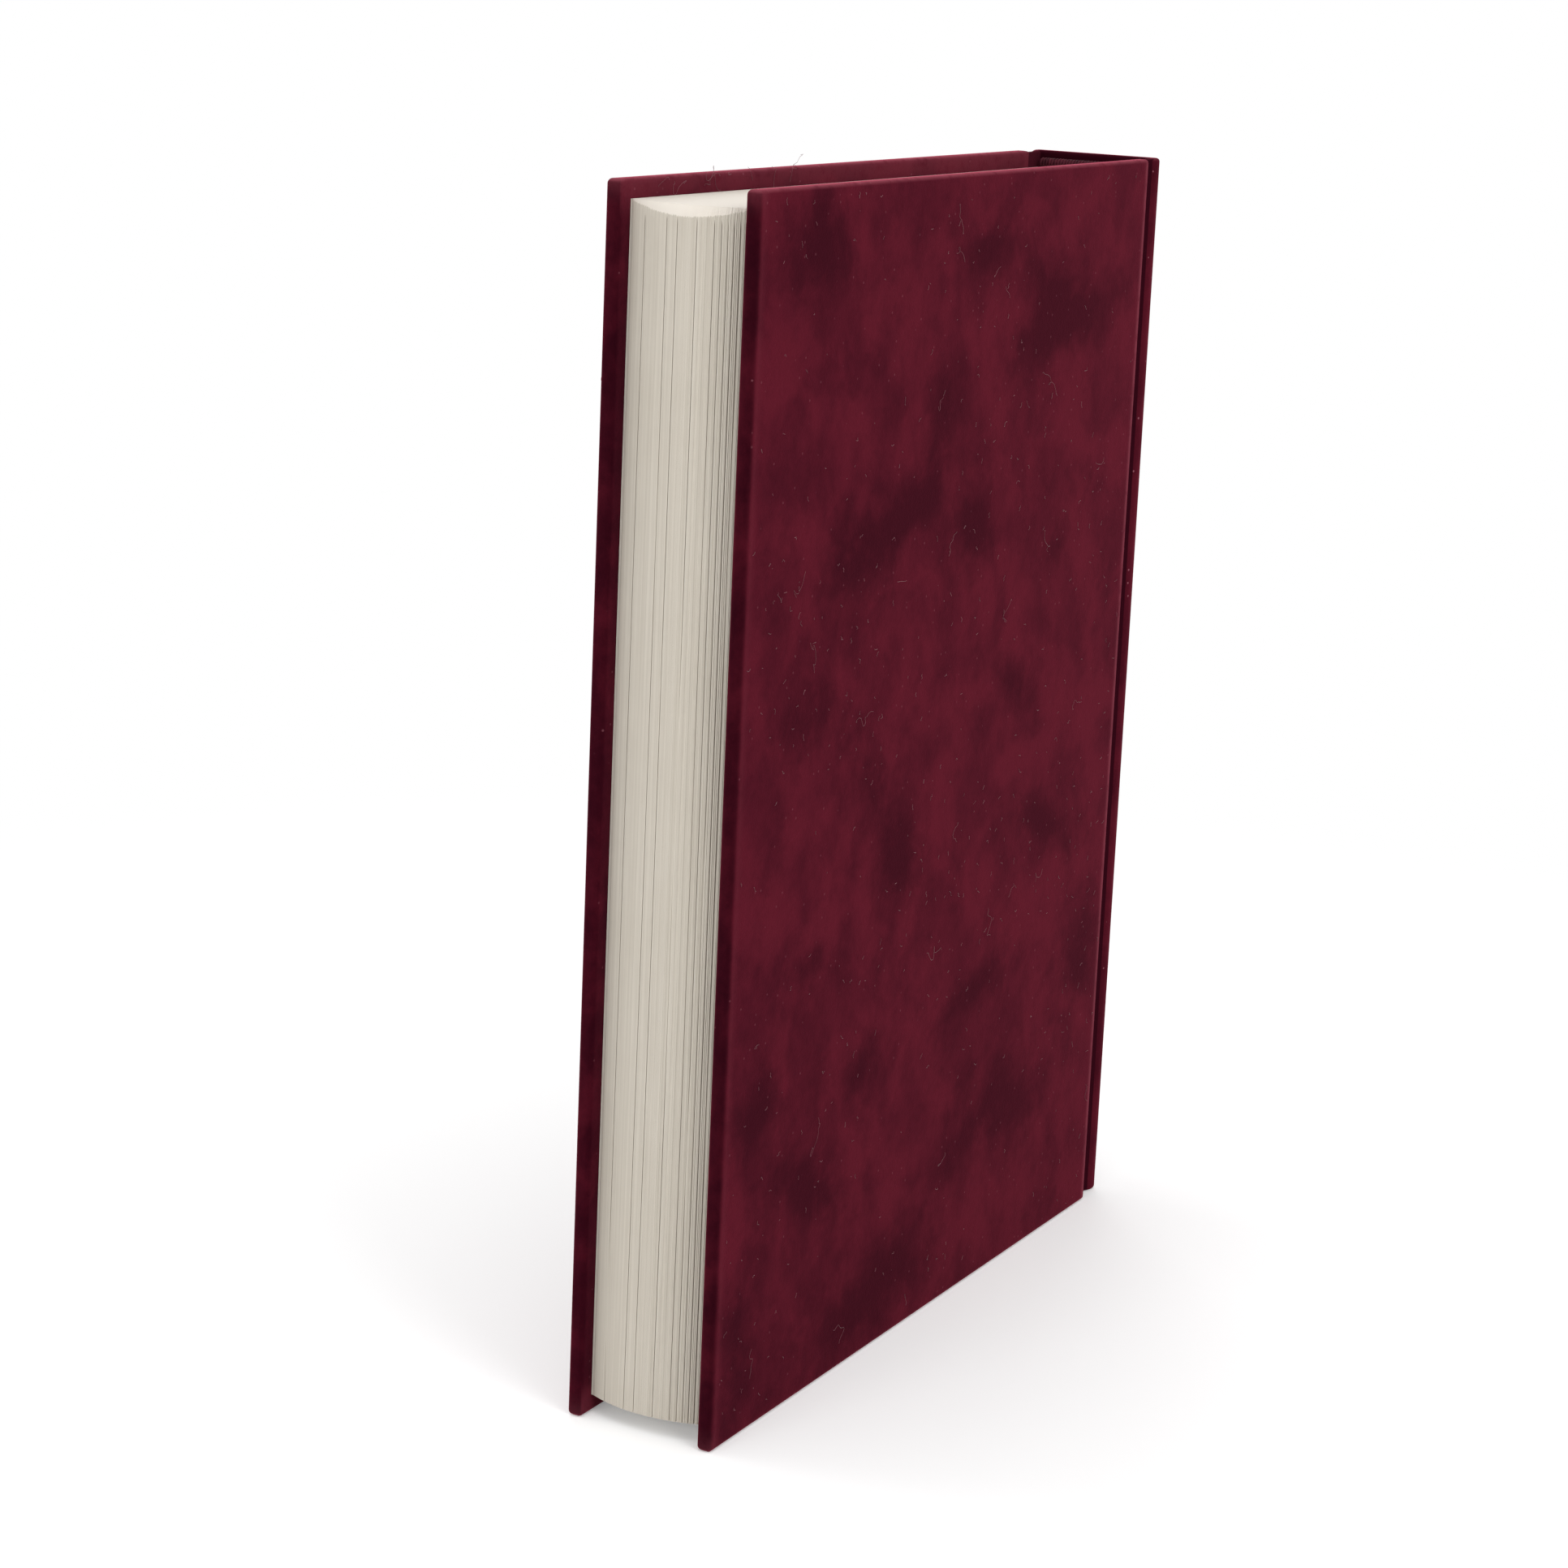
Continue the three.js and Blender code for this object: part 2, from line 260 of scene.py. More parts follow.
def skin_faces(outer_columns, inner_columns):
    """Faces that join the two sides of a sheet into one closed skin. Each side is a list of
    columns across the sheet, and each column holds the numbers of its points, upwards."""
    ring = outer_columns + inner_columns[::-1]
    faces = []
    for left, right in zip(ring, ring[1:] + ring[:1]):
        for row in range(len(left) - 1):
            faces.append((left[row], right[row], right[row + 1], left[row + 1]))
    for row in (0, -1):
        for near in range(len(outer_columns) - 1):
            faces.append((outer_columns[near][row], outer_columns[near + 1][row],
                          inner_columns[near + 1][row], inner_columns[near][row]))
    return faces


# Node helpers

class Nodes:
    """Adds nodes to one tree and joins them, with values set by socket name."""

    def __init__(self, tree):
        self.tree = tree

    def add(self, kind, inputs=None, **settings):
        node = self.tree.nodes.new(kind)
        for key, value in settings.items():
            setattr(node, key, value)
        for key, value in (inputs or {}).items():
            self.put(node.inputs[key], value)
        return node

    def put(self, socket, value):
        if isinstance(value, bpy.types.NodeSocket):
            self.tree.links.new(value, socket)
        else:
            socket.default_value = value

    def math(self, operation, *values, clamp=False):
        node = self.add("ShaderNodeMath", operation=operation, use_clamp=clamp)
        for socket, value in zip(node.inputs, values):
            self.put(socket, value)
        return node.outputs[0]

    def mix(self, factor, first, second, blend="MIX"):
        node = self.add("ShaderNodeMix", data_type="RGBA", blend_type=blend)
        self.put(node.inputs[0], factor)
        self.put(node.inputs[6], first)
        self.put(node.inputs[7], second)
        return node.outputs[2]

    def span(self, value, low, high, to_low=0.0, to_high=1.0, kind="SMOOTHSTEP"):
        node = self.add("ShaderNodeMapRange", interpolation_type=kind)
        for socket, number in zip(node.inputs, (value, low, high, to_low, to_high)):
            self.put(socket, number)
        return node.outputs[0]

    def noise(self, vector, scale, detail=2.0, roughness=0.5, distortion=0.0):
        node = self.add("ShaderNodeTexNoise")
        self.put(node.inputs["Vector"], vector)
        self.put(node.inputs["Scale"], scale)
        self.put(node.inputs["Detail"], detail)
        self.put(node.inputs["Roughness"], roughness)
        self.put(node.inputs["Distortion"], distortion)
        return node.outputs[0]

    def attribute(self, name, output="Fac"):
        return self.add("ShaderNodeAttribute", attribute_name=name).outputs[output]

    def vector(self, x=0.0, y=0.0, z=0.0):
        return self.add("ShaderNodeCombineXYZ", {"X": x, "Y": y, "Z": z}).outputs[0]

    def stretched(self, vector, scale, turn=(0.0, 0.0, 0.0)):
        """The pattern made longer by scale along its own axes, and turned."""
        node = self.add("ShaderNodeMapping", vector_type="TEXTURE")
        self.put(node.inputs["Vector"], vector)
        node.inputs["Scale"].default_value = scale
        node.inputs["Rotation"].default_value = turn
        return node.outputs[0]


def new_group(name, kind, inputs, outputs):
    """An empty node group with the named sockets; inputs holds (name, type, value)."""
    tree = bpy.data.node_groups.new(name, kind)
    for label, socket_type, value in inputs:
        socket = tree.interface.new_socket(label, in_out="INPUT", socket_type=socket_type)
        if value is not None:
            socket.default_value = value
    for label, socket_type in outputs:
        tree.interface.new_socket(label, in_out="OUTPUT", socket_type=socket_type)
    return tree


def end_tree(n, geometry, material):
    """Ends a geometry tree in one plain mesh of one material."""
    plain = n.add("GeometryNodeRealizeInstances", {"Geometry": geometry}).outputs[0]
    covered = n.add("GeometryNodeSetMaterial", {"Geometry": plain, "Material": material}).outputs[0]
    n.put(n.add("NodeGroupOutput").inputs[0], covered)


def run_tree(obj, tree, **values):
    """Runs the tree on obj with the named values, and keeps the result as its plain mesh."""
    modifier = obj.modifiers.new(tree.name, "NODES")
    modifier.node_group = tree
    sockets = {s.name: s.identifier for s in tree.interface.items_tree if s.in_out == "INPUT"}
    for key, value in values.items():
        modifier[sockets[key.replace("_", " ")]] = value
    graph = bpy.context.evaluated_depsgraph_get()
    mesh = bpy.data.meshes.new_from_object(obj.evaluated_get(graph))
    obj.modifiers.clear()
    obj.data = mesh


FLOAT = "NodeSocketFloat"
INTEGER = "NodeSocketInt"
VECTOR = "NodeSocketVector"
COLOR = "NodeSocketColor"
GEOMETRY = "NodeSocketGeometry"
MATERIAL = "NodeSocketMaterial"


def soft_clouds_group():
    """Soft patches of two tones that drift into each other, at a given size in metres."""
    tree = new_group(
        "soft_clouds", "ShaderNodeTree",
        [("Vector", VECTOR, None), ("Patch Size", FLOAT, 0.03), ("Contrast", FLOAT, 1.0),
         ("Low Tone", COLOR, (0, 0, 0, 1)), ("High Tone", COLOR, (1, 1, 1, 1))],
        [("Color", COLOR), ("Share", FLOAT)],
    )
    n = Nodes(tree)
    given = n.add("NodeGroupInput").outputs
    scale = n.math("DIVIDE", 1.0, given["Patch Size"])
    broad = n.noise(given["Vector"], scale, detail=3.0, roughness=0.55, distortion=0.35)
    half_width = n.math("DIVIDE", 0.16, given["Contrast"])
    low = n.math("SUBTRACT", 0.5, half_width)
    high = n.math("ADD", 0.5, half_width)
    share = n.span(broad, low, high)
    colour = n.mix(share, given["Low Tone"], given["High Tone"])
    result = n.add("NodeGroupOutput")
    n.put(result.inputs["Color"], colour)
    n.put(result.inputs["Share"], share)
    return tree


def fine_grain_group():
    """Fine grain in two sizes, as a height and as a multiplier for a colour."""
    tree = new_group(
        "fine_grain", "ShaderNodeTree",
        [("Vector", VECTOR, None), ("Grain Size", FLOAT, 0.0004), ("Depth", FLOAT, 0.1)],
        [("Height", FLOAT), ("Tone", FLOAT)],
    )
    n = Nodes(tree)
    given = n.add("NodeGroupInput").outputs
    scale = n.math("DIVIDE", 1.0, given["Grain Size"])
    small = n.noise(given["Vector"], scale, detail=2.0, roughness=0.6)
    coarse_scale = n.math("MULTIPLY", scale, 0.23)
    coarse = n.noise(given["Vector"], coarse_scale, detail=2.0, roughness=0.6)
    height = n.math("ADD", n.math("MULTIPLY", small, 0.6), n.math("MULTIPLY", coarse, 0.4))
    swing = n.math("MULTIPLY", n.math("SUBTRACT", height, 0.5), given["Depth"])
    tone = n.math("ADD", 1.0, swing)
    result = n.add("NodeGroupOutput")
    n.put(result.inputs["Height"], height)
    n.put(result.inputs["Tone"], tone)
    return tree


def weave_group():
    """Plain weave: threads over and under each other, as a height and an open-gap mask."""
    tree = new_group(
        "plain_weave", "ShaderNodeTree",
        [("Vector", VECTOR, None), ("Thread Pitch", FLOAT, 0.001)],
        [("Height", FLOAT), ("Gap", FLOAT)],
    )
    n = Nodes(tree)
    given = n.add("NodeGroupInput").outputs
    parts = n.add("ShaderNodeSeparateXYZ", {"Vector": given["Vector"]}).outputs
    turn = n.math("DIVIDE", math.tau, given["Thread Pitch"])
    across = n.math("ABSOLUTE", n.math("SINE", n.math("MULTIPLY", parts["Y"], turn)))
    along = n.math("ABSOLUTE", n.math("SINE", n.math("MULTIPLY", parts["Z"], turn)))
    height = n.math("MAXIMUM", across, along)
    gap = n.span(height, 0.35, 0.6, 1.0, 0.0)
    result = n.add("NodeGroupOutput")
    n.put(result.inputs["Height"], height)
    n.put(result.inputs["Gap"], gap)
    return tree


SOFT_CLOUDS = soft_clouds_group()
FINE_GRAIN = fine_grain_group()
PLAIN_WEAVE = weave_group()


def new_material(name):
    material = bpy.data.materials.new(name)
    material.use_nodes = True
    n = Nodes(material.node_tree)
    shader = material.node_tree.nodes["Principled BSDF"]
    return material, n, shader


def grouped(n, tree, **values):
    """Places a shared effect in a material with its own values, and gives its outputs."""
    node = n.add("ShaderNodeGroup", node_tree=tree)
    for key, value in values.items():
        n.put(node.inputs[key.replace("_", " ")], value)
    return node.outputs


def bumped(n, shader, height, distance, strength=1.0):
    bump = n.add("ShaderNodeBump")
    bump.inputs["Strength"].default_value = strength
    bump.inputs["Distance"].default_value = distance
    n.put(bump.inputs["Height"], height)
    n.put(shader.inputs["Normal"], bump.outputs["Normal"])


# Materials

VELVET_DARK = (0.0290, 0.0026, 0.0070, 1)
VELVET_MID = (0.0670, 0.0056, 0.0132, 1)
VELVET_LIGHT = (0.1060, 0.0090, 0.0190, 1)
# Pale colour for worn rims and corners, also used for the painted highlights
VELVET_WEAR_AND_HIGHLIGHT = (0.2600, 0.0620, 0.0850, 1)
VELVET_SPECK = (0.4200, 0.1500, 0.1900, 1)
VELVET_SHEEN = (0.88, 0.165, 0.255, 1)


def velvet_material():
    """Velvet with the pile brushed two ways, paler along its rims, with specks of lint. The pale rims
    are partly worn and partly painted highlights, and the brushed shade also holds painted shade and
    painted light.
    """
    material, n, shader = new_material("velvet")
    rest = n.attribute("rest", "Vector")
    slanted = n.stretched(rest, (1.0, 1.0, 1.12), turn=(0.0, -0.25, 0.0))
    brushed = grouped(n, SOFT_CLOUDS, Vector=slanted, Patch_Size=0.017, Contrast=1.0)
    feather = n.noise(slanted, 150.0, detail=8.0, roughness=0.68, distortion=0.2)
    # The brushed value holds the pile's brushed marks, and painted shade and painted light at the
    # edges, the turn-ins and the spine's hollow
    shade = n.math("ADD", n.attribute("brushed"), n.math("MULTIPLY", brushed["Share"], -0.30))
    feathered = n.math("ADD", shade, n.math("MULTIPLY", n.math("SUBTRACT", feather, 0.5), 1.5))
    dark = n.span(feathered, -0.40, 0.72)
    lit = n.mix(n.math("MULTIPLY", brushed["Share"], 0.6), VELVET_MID, VELVET_LIGHT)
    toned = n.mix(dark, lit, VELVET_DARK)
    grain = grouped(n, FINE_GRAIN, Vector=rest, Grain_Size=0.00035, Depth=0.45)
    facing = n.add("ShaderNodeLayerWeight").outputs["Facing"]
    into_the_pile = n.math("MULTIPLY", grain["Tone"], n.span(facing, 0.0, 0.5, 0.70, 1.0))
    tone = n.add("ShaderNodeCombineColor")
    for channel in ("Red", "Green", "Blue"):
        n.put(tone.inputs[channel], into_the_pile)
    grained = n.mix(1.0, toned, tone.outputs[0], blend="MULTIPLY")
    rim_noise = n.noise(rest, 420.0, detail=4.0, roughness=0.65)
    # The pale share holds worn corners and rims, and painted highlights on the rims, the ridge, beside
    # the fore edge and on the turn-ins
    wear_and_highlight = n.math("MULTIPLY", n.attribute("wear_and_highlight"), n.span(rim_noise, 0.22, 0.55, 0.35, 1.0))
    worn_and_highlit = n.mix(n.math("MULTIPLY", wear_and_highlight, 0.75), grained, VELVET_WEAR_AND_HIGHLIGHT)
    cells = n.add("ShaderNodeTexVoronoi", feature="F1")
    n.put(cells.inputs["Vector"], rest)
    cells.inputs["Scale"].default_value = 480.0
    near_centre = n.span(cells.outputs["Distance"], 0.08, 0.15, 1.0, 0.0)
    picked = n.add("ShaderNodeSeparateColor", {"Color": cells.outputs["Color"]}).outputs
    crowding = n.noise(rest, 14.0, detail=2.0)
    chosen = n.math("GREATER_THAN", picked[0], n.span(crowding, 0.40, 0.60, 0.90, 0.62))
    strength = n.math("MULTIPLY", near_centre, n.math("MULTIPLY", picked[1], 0.60))
    speck = n.math("MULTIPLY", strength, chosen)
    n.put(shader.inputs["Base Color"], n.mix(speck, worn_and_highlit, VELVET_SPECK))
    n.put(shader.inputs["Roughness"], n.span(dark, 0.0, 1.0, 0.86, 0.98))
    shader.inputs["Specular IOR Level"].default_value = 0.0
    shader.inputs["Sheen Weight"].default_value = 0.44
    shader.inputs["Sheen Roughness"].default_value = 0.35
    shader.inputs["Sheen Tint"].default_value = VELVET_SHEEN
    bumped(n, shader, grain["Height"], 0.00012, 0.55)
    return material


def page_material():
    """Paper edges: each leaf a little lighter or darker, and a painted highlight along the head for
    the light from above.
    """
    material, n, shader = new_material("page_edges")
    place = n.add("ShaderNodeTexCoord").outputs["Object"]
    base = n.mix(n.attribute("leaf_tone"), (0.455, 0.410, 0.346, 1), (0.655, 0.608, 0.532, 1))
    streak = n.noise(n.stretched(place, (1.0, 1.0, 90.0)), 3800.0, detail=2.0, roughness=0.5)
    streaked = n.mix(n.span(streak, 0.38, 0.72, 0.0, 0.30), base, (0.46, 0.41, 0.345, 1))
    clouds = grouped(
        n, SOFT_CLOUDS, Vector=place, Patch_Size=0.03, Contrast=0.6,
        Low_Tone=(0.955, 0.95, 0.94, 1), High_Tone=(1.0, 1.0, 1.0, 1),
    )
    aged = n.mix(1.0, streaked, clouds["Color"], blend="MULTIPLY")
    foxing = n.noise(place, 900.0, detail=3.0, roughness=0.7)
    flecked = n.mix(n.span(foxing, 0.70, 0.80, 0.0, 0.35), aged, (0.40, 0.33, 0.25, 1))
    # Painted highlight: the head of the pages and its eased corner are painted brighter, for the light
    # from above
    head = n.span(n.attribute("below_head"), -0.00008, 0.00010, 1.0, 0.0)
    n.put(shader.inputs["Base Color"], n.mix(head, flecked, (0.74, 0.685, 0.615, 1)))
    shader.inputs["Roughness"].default_value = 0.85
    shader.inputs["Specular IOR Level"].default_value = 0.2
    grain = grouped(n, FINE_GRAIN, Vector=place, Grain_Size=0.0003, Depth=0.3)
    bumped(n, shader, grain["Height"], 0.00003, 0.3)
    return material


def paper_material(name, tone, coordinate):
    """Smooth uncoated paper with faint clouds and fibres; coordinate says where it is read."""
    material, n, shader = new_material(name)
    if coordinate == "rest":
        place = n.attribute("rest", "Vector")
    else:
        place = n.add("ShaderNodeTexCoord").outputs["Object"]
    deeper = tuple(0.9 * part for part in tone[:3]) + (1,)
    clouds = grouped(
        n, SOFT_CLOUDS, Vector=place, Patch_Size=0.02, Contrast=0.5,
        Low_Tone=deeper, High_Tone=tone,
    )
    fibres = n.noise(n.stretched(place, (1.0, 1.0, 3.0)), 1800.0, detail=4.0, roughness=0.7)
    flecked = n.mix(n.span(fibres, 0.60, 0.75, 0.0, 0.25), clouds["Color"], (0.62, 0.55, 0.46, 1))
    n.put(shader.inputs["Base Color"], flecked)
    shader.inputs["Roughness"].default_value = 0.8
    shader.inputs["Specular IOR Level"].default_value = 0.25
    grain = grouped(n, FINE_GRAIN, Vector=place, Grain_Size=0.0005, Depth=0.3)
    bumped(n, shader, grain["Height"], 0.00004, 0.4)
    return material


def board_material():
    """Grey-brown binder's board with pressed fibres and a layered edge."""
    material, n, shader = new_material("binders_board")
    place = n.add("ShaderNodeTexCoord").outputs["Object"]
    clouds = grouped(
        n, SOFT_CLOUDS, Vector=place, Patch_Size=0.008, Contrast=0.8,
        Low_Tone=(0.19, 0.16, 0.13, 1), High_Tone=(0.29, 0.25, 0.21, 1),
    )
    layers = n.noise(n.stretched(place, (20.0, 1.0, 20.0)), 5200.0, detail=2.0)
    n.put(shader.inputs["Base Color"], n.mix(
        n.span(layers, 0.45, 0.62, 0.0, 0.4), clouds["Color"], (0.14, 0.115, 0.09, 1),
    ))
    shader.inputs["Roughness"].default_value = 0.9
    grain = grouped(n, FINE_GRAIN, Vector=place, Grain_Size=0.0009, Depth=0.4)
    bumped(n, shader, grain["Height"], 0.0001, 0.6)
    return material


def lining_material():
    """Open gauze glued over kraft paper."""
    material, n, shader = new_material("gauze_lining")
    place = n.add("ShaderNodeTexCoord").outputs["Object"]
    weave = grouped(n, PLAIN_WEAVE, Vector=place, Thread_Pitch=0.0022)
    clouds = grouped(
        n, SOFT_CLOUDS, Vector=place, Patch_Size=0.012, Contrast=0.7,
        Low_Tone=(0.42, 0.34, 0.24, 1), High_Tone=(0.50, 0.42, 0.31, 1),
    )
    n.put(shader.inputs["Base Color"], n.mix(weave["Gap"], (0.72, 0.68, 0.60, 1), clouds["Color"]))
    shader.inputs["Roughness"].default_value = 0.92
    bumped(n, shader, weave["Height"], 0.0002, 0.8)
    return material


def thread_material(name, shade, bright):
    """Silky wound thread; its twist shows as fine slanting lines."""
    material, n, shader = new_material(name)
    place = n.add("ShaderNodeTexCoord").outputs["Object"]
    twist = n.add("ShaderNodeTexWave", wave_type="BANDS", bands_direction="DIAGONAL")
    n.put(twist.inputs["Vector"], place)
    twist.inputs["Scale"].default_value = 1500.0
    twist.inputs["Distortion"].default_value = 0.8
    clouds = grouped(
        n, SOFT_CLOUDS, Vector=place, Patch_Size=0.0015, Contrast=0.7,
        Low_Tone=shade, High_Tone=bright,
    )
    n.put(shader.inputs["Base Color"], n.mix(
        n.math("MULTIPLY", twist.outputs["Fac"], 0.35), clouds["Color"], shade,
    ))
    shader.inputs["Roughness"].default_value = 0.6
    shader.inputs["Specular IOR Level"].default_value = 0.1
    bumped(n, shader, twist.outputs["Fac"], 0.00004, 0.6)
    return material


def lint_material():
    """Loose fibres, paler than the pile that they lie on."""
    material, n, shader = new_material("lint")
    place = n.add("ShaderNodeTexCoord").outputs["Object"]
    clouds = grouped(
        n, SOFT_CLOUDS, Vector=place, Patch_Size=0.004, Contrast=0.8,
        Low_Tone=(0.110, 0.018, 0.030, 1), High_Tone=(0.22, 0.062, 0.080, 1),
    )
    n.put(shader.inputs["Base Color"], clouds["Color"])
    shader.inputs["Roughness"].default_value = 0.8
    shader.inputs["Sheen Weight"].default_value = 0.2
    return material


VELVET = velvet_material()
PAGE_EDGES = page_material()
ENDPAPER = paper_material("endpaper", (0.74, 0.69, 0.60, 1), "object")
PASTED_PAPER = paper_material("pasted_endpaper", (0.74, 0.69, 0.60, 1), "rest")
BOARD = board_material()
LINING = lining_material()
BAND_THREAD = thread_material("band_thread", (0.028, 0.004, 0.008, 1), (0.085, 0.010, 0.020, 1))
LINT = lint_material()


# Case cloth

def smooth_share(value):
    value = min(max(value, 0.0), 1.0)
    return value * value * (3 - 2 * value)


def case_profile():
    """Half of the case seen from the head, from the fore edge round to the spine's middle.
    Each entry pairs a point on the outer face with one on the inner face, the outward
    direction at each, how far the head and tail edges are rounded there, and how far they dip."""
    entries = []
    thickness = COVER_OUTER - COVER_INNER
    middle = (COVER_OUTER + COVER_INNER) / 2
    radius = BOARD_EDGE_RADIUS

    def entry(outer, inner, outer_turn, inner_turn, rounding, dip=0.0):
        outer_way = (math.cos(outer_turn), math.sin(outer_turn))
        inner_way = (math.cos(inner_turn), math.sin(inner_turn))
        entries.append((outer, inner, outer_way, inner_way, rounding, dip))

    # The rounded fore edge of the board
    for step in range(ROUNDING_STEPS + 1):
        turn = math.pi / 2 * step / ROUNDING_STEPS
        x = FORE_EDGE + radius * (1 - math.cos(turn))
        rise = thickness / 2 - radius + radius * math.sin(turn)
        entry((x, middle + rise), (x, middle - rise), math.pi - turn, math.pi + turn, radius)

    # The flat of the board
    flat_start = FORE_EDGE + radius
    flat_end = BOARD_END - radius
    step_width = (flat_end - flat_start) / BOARD_COLUMNS
    flat = [flat_start + step_width * column for column in range(1, BOARD_COLUMNS + 1)]
    flat += [flat_start + step for step in EDGE_COLUMNS]
    flat += [flat_end - step for step in RIDGE_COLUMNS]
    for x in sorted(flat):
        entry((x, COVER_OUTER), (x, COVER_INNER), math.pi / 2, -math.pi / 2, radius)

    # Over the board's end and down into the joint
    floor = COVER_INNER + JOINT_CLOTH
    dip_at_end = 0.35 * JOINT_DIP
    inner_x = flat_end
    for step in range(1, ROUNDING_STEPS + 1):
        turn = math.pi / 2 * step / ROUNDING_STEPS
        outer = (flat_end + radius * math.sin(turn),
                 COVER_OUTER - radius + radius * math.cos(turn))
        inner_x += INNER_STEP_AT_BOARD_END
        share = smooth_share(step / ROUNDING_STEPS)
        entry(outer, (inner_x, COVER_INNER), math.pi / 2 - turn, -math.pi / 2,
              radius + (JOINT_EDGE_RADIUS - radius) * share, dip_at_end * share)
    for step in range(1, ROUNDING_STEPS + 1):
        turn = math.pi / 2 * step / ROUNDING_STEPS
        outer = (BOARD_END + JOINT_FILLET * (1 - math.cos(turn)),
                 floor + JOINT_FILLET * (1 - math.sin(turn)))
        inner_x += INNER_STEP_AT_FILLET
        share = smooth_share(step / ROUNDING_STEPS)
        entry(outer, (inner_x, COVER_INNER), turn, -math.pi / 2,
              JOINT_EDGE_RADIUS, dip_at_end + (JOINT_DIP - dip_at_end) * share)

    # The flat of the joint and its rise to the spine's shoulder
    foot = BOARD_END + JOINT_FLAT_WIDTH
    corner = SPINE_FACE - SPINE_CORNER_RADIUS
    rise_end = corner - SPINE_SHOULDER_WIDTH
    shoulder = COVER_OUTER - SPINE_EDGE_INSET
    wall_inner = SPINE_FACE - SPINE_WALL
    start = BOARD_END + JOINT_FILLET
    inner_start, inner_end = inner_x, wall_inner - SPINE_EDGE_RADIUS
    for column in range(1, JOINT_COLUMNS + 1):
        x = start + (rise_end - start) * column / JOINT_COLUMNS
        along_rise = max(0.0, (x - foot) / (rise_end - foot))
        share = smooth_share(along_rise)
        slope = 6 * along_rise * (1 - along_rise) * (shoulder - floor) / (rise_end - foot)
        y = floor + (shoulder - floor) * share
        inner = inner_start + (inner_end - inner_start) * column / JOINT_COLUMNS
        rounding = JOINT_EDGE_RADIUS + (SPINE_EDGE_RADIUS - JOINT_EDGE_RADIUS) * share
        entry((x, y), (inner, COVER_INNER), math.pi / 2 + math.atan(slope), -math.pi / 2,
              rounding, JOINT_DIP * (1 - share))

    # Round the spine's corner and along to its middle
    bend = SPINE_EDGE_RADIUS / 2
    for step in range(ROUNDING_STEPS + 1):
        turn = math.pi / 2 * step / ROUNDING_STEPS
        outer = (corner + SPINE_CORNER_RADIUS * math.sin(turn),
                 shoulder - SPINE_CORNER_RADIUS * (1 - math.cos(turn)))
        inner = (wall_inner - bend + bend * math.sin(turn),
                 COVER_INNER - bend + bend * math.cos(turn))
        entry(outer, inner, math.pi / 2 - turn, math.pi * 1.5 - turn, SPINE_EDGE_RADIUS)
    for column in range(1, HALF_SPINE_COLUMNS + 1):
        left = 1 - column / HALF_SPINE_COLUMNS
        outer = (SPINE_FACE, (shoulder - SPINE_CORNER_RADIUS) * left)
        inner = (wall_inner, (COVER_INNER - bend) * left)
        entry(outer, inner, 0.0, math.pi, SPINE_EDGE_RADIUS)
    return entries


def row_levels(rounding, dip):
    """(height, inset) up the cloth: round the tail edge, up the face, round the head edge."""
    levels = []
    for step in range(ROUNDING_STEPS + 1):
        turn = math.pi / 2 * step / ROUNDING_STEPS
        levels.append((dip + rounding * (1 - math.cos(turn)), rounding * (1 - math.sin(turn))))
    rows = round(HEIGHT / ROW_STEP)
    bottom = BOARD_EDGE_RADIUS + JOINT_DIP
    for row in range(rows + 1):
        levels.append((bottom + (HEIGHT - 2 * bottom) * row / rows, 0.0))
    for height, inset in reversed(levels[:ROUNDING_STEPS + 1]):
        levels.append((HEIGHT - height, inset))
    return levels


def round_cover_corner(x, z):
    """Rounds the cover's two fore-edge corners in its own plane, where the cloth is folded."""
    reach = BOARD_CORNER_RADIUS
    from_end = min(z, HEIGHT - z)
    u = 1 - (x - FORE_EDGE) / reach
    v = 1 - from_end / reach
    if u <= 0 or v <= 0:
        return x, z
    round_u = u * math.sqrt(1 - v * v / 2)
    round_v = v * math.sqrt(1 - u * u / 2)
    new_end = reach * (1 - round_v)
    return FORE_EDGE + reach * (1 - round_u), new_end if z < HEIGHT / 2 else HEIGHT - new_end


class ClothPlaces:
    """Where each point of the case cloth lies, for its brushing and its worn places, and for its
    painted shade and painted highlights.
    """

    def __init__(self, places):
        across = np.abs(places[:, 1])
        self.x = places[:, 0]
        self.from_fore_edge = self.x - FORE_EDGE
        self.from_end = np.minimum(places[:, 2], HEIGHT - places[:, 2])
        self.outside = across > (COVER_INNER + COVER_OUTER) / 2
        self.over_board = self.x < BOARD_END
        self.inside_board = (across < COVER_INNER + 0.2 * MM) & self.over_board
        inner_wall = self.x < SPINE_FACE - 0.75 * SPINE_WALL
        self.inside_spine = inner_wall & ~self.outside & ~self.over_board
        # Painted light on the turn-in fades over this reach from head and tail
        self.near_end = np.clip(1 - self.from_end / TURN_IN_LIGHT_REACH, 0, 1)
        # The strip just beside the fore edge's rounding, which gets a painted highlight and painted
        # light
        behind_edge = np.abs(self.from_fore_edge - BOARD_EDGE_RADIUS - EDGE_COLUMNS[0])
        self.fore_edge_highlight_strip = np.clip(1 - behind_edge / EDGE_COLUMNS[1], 0, 1) * self.outside


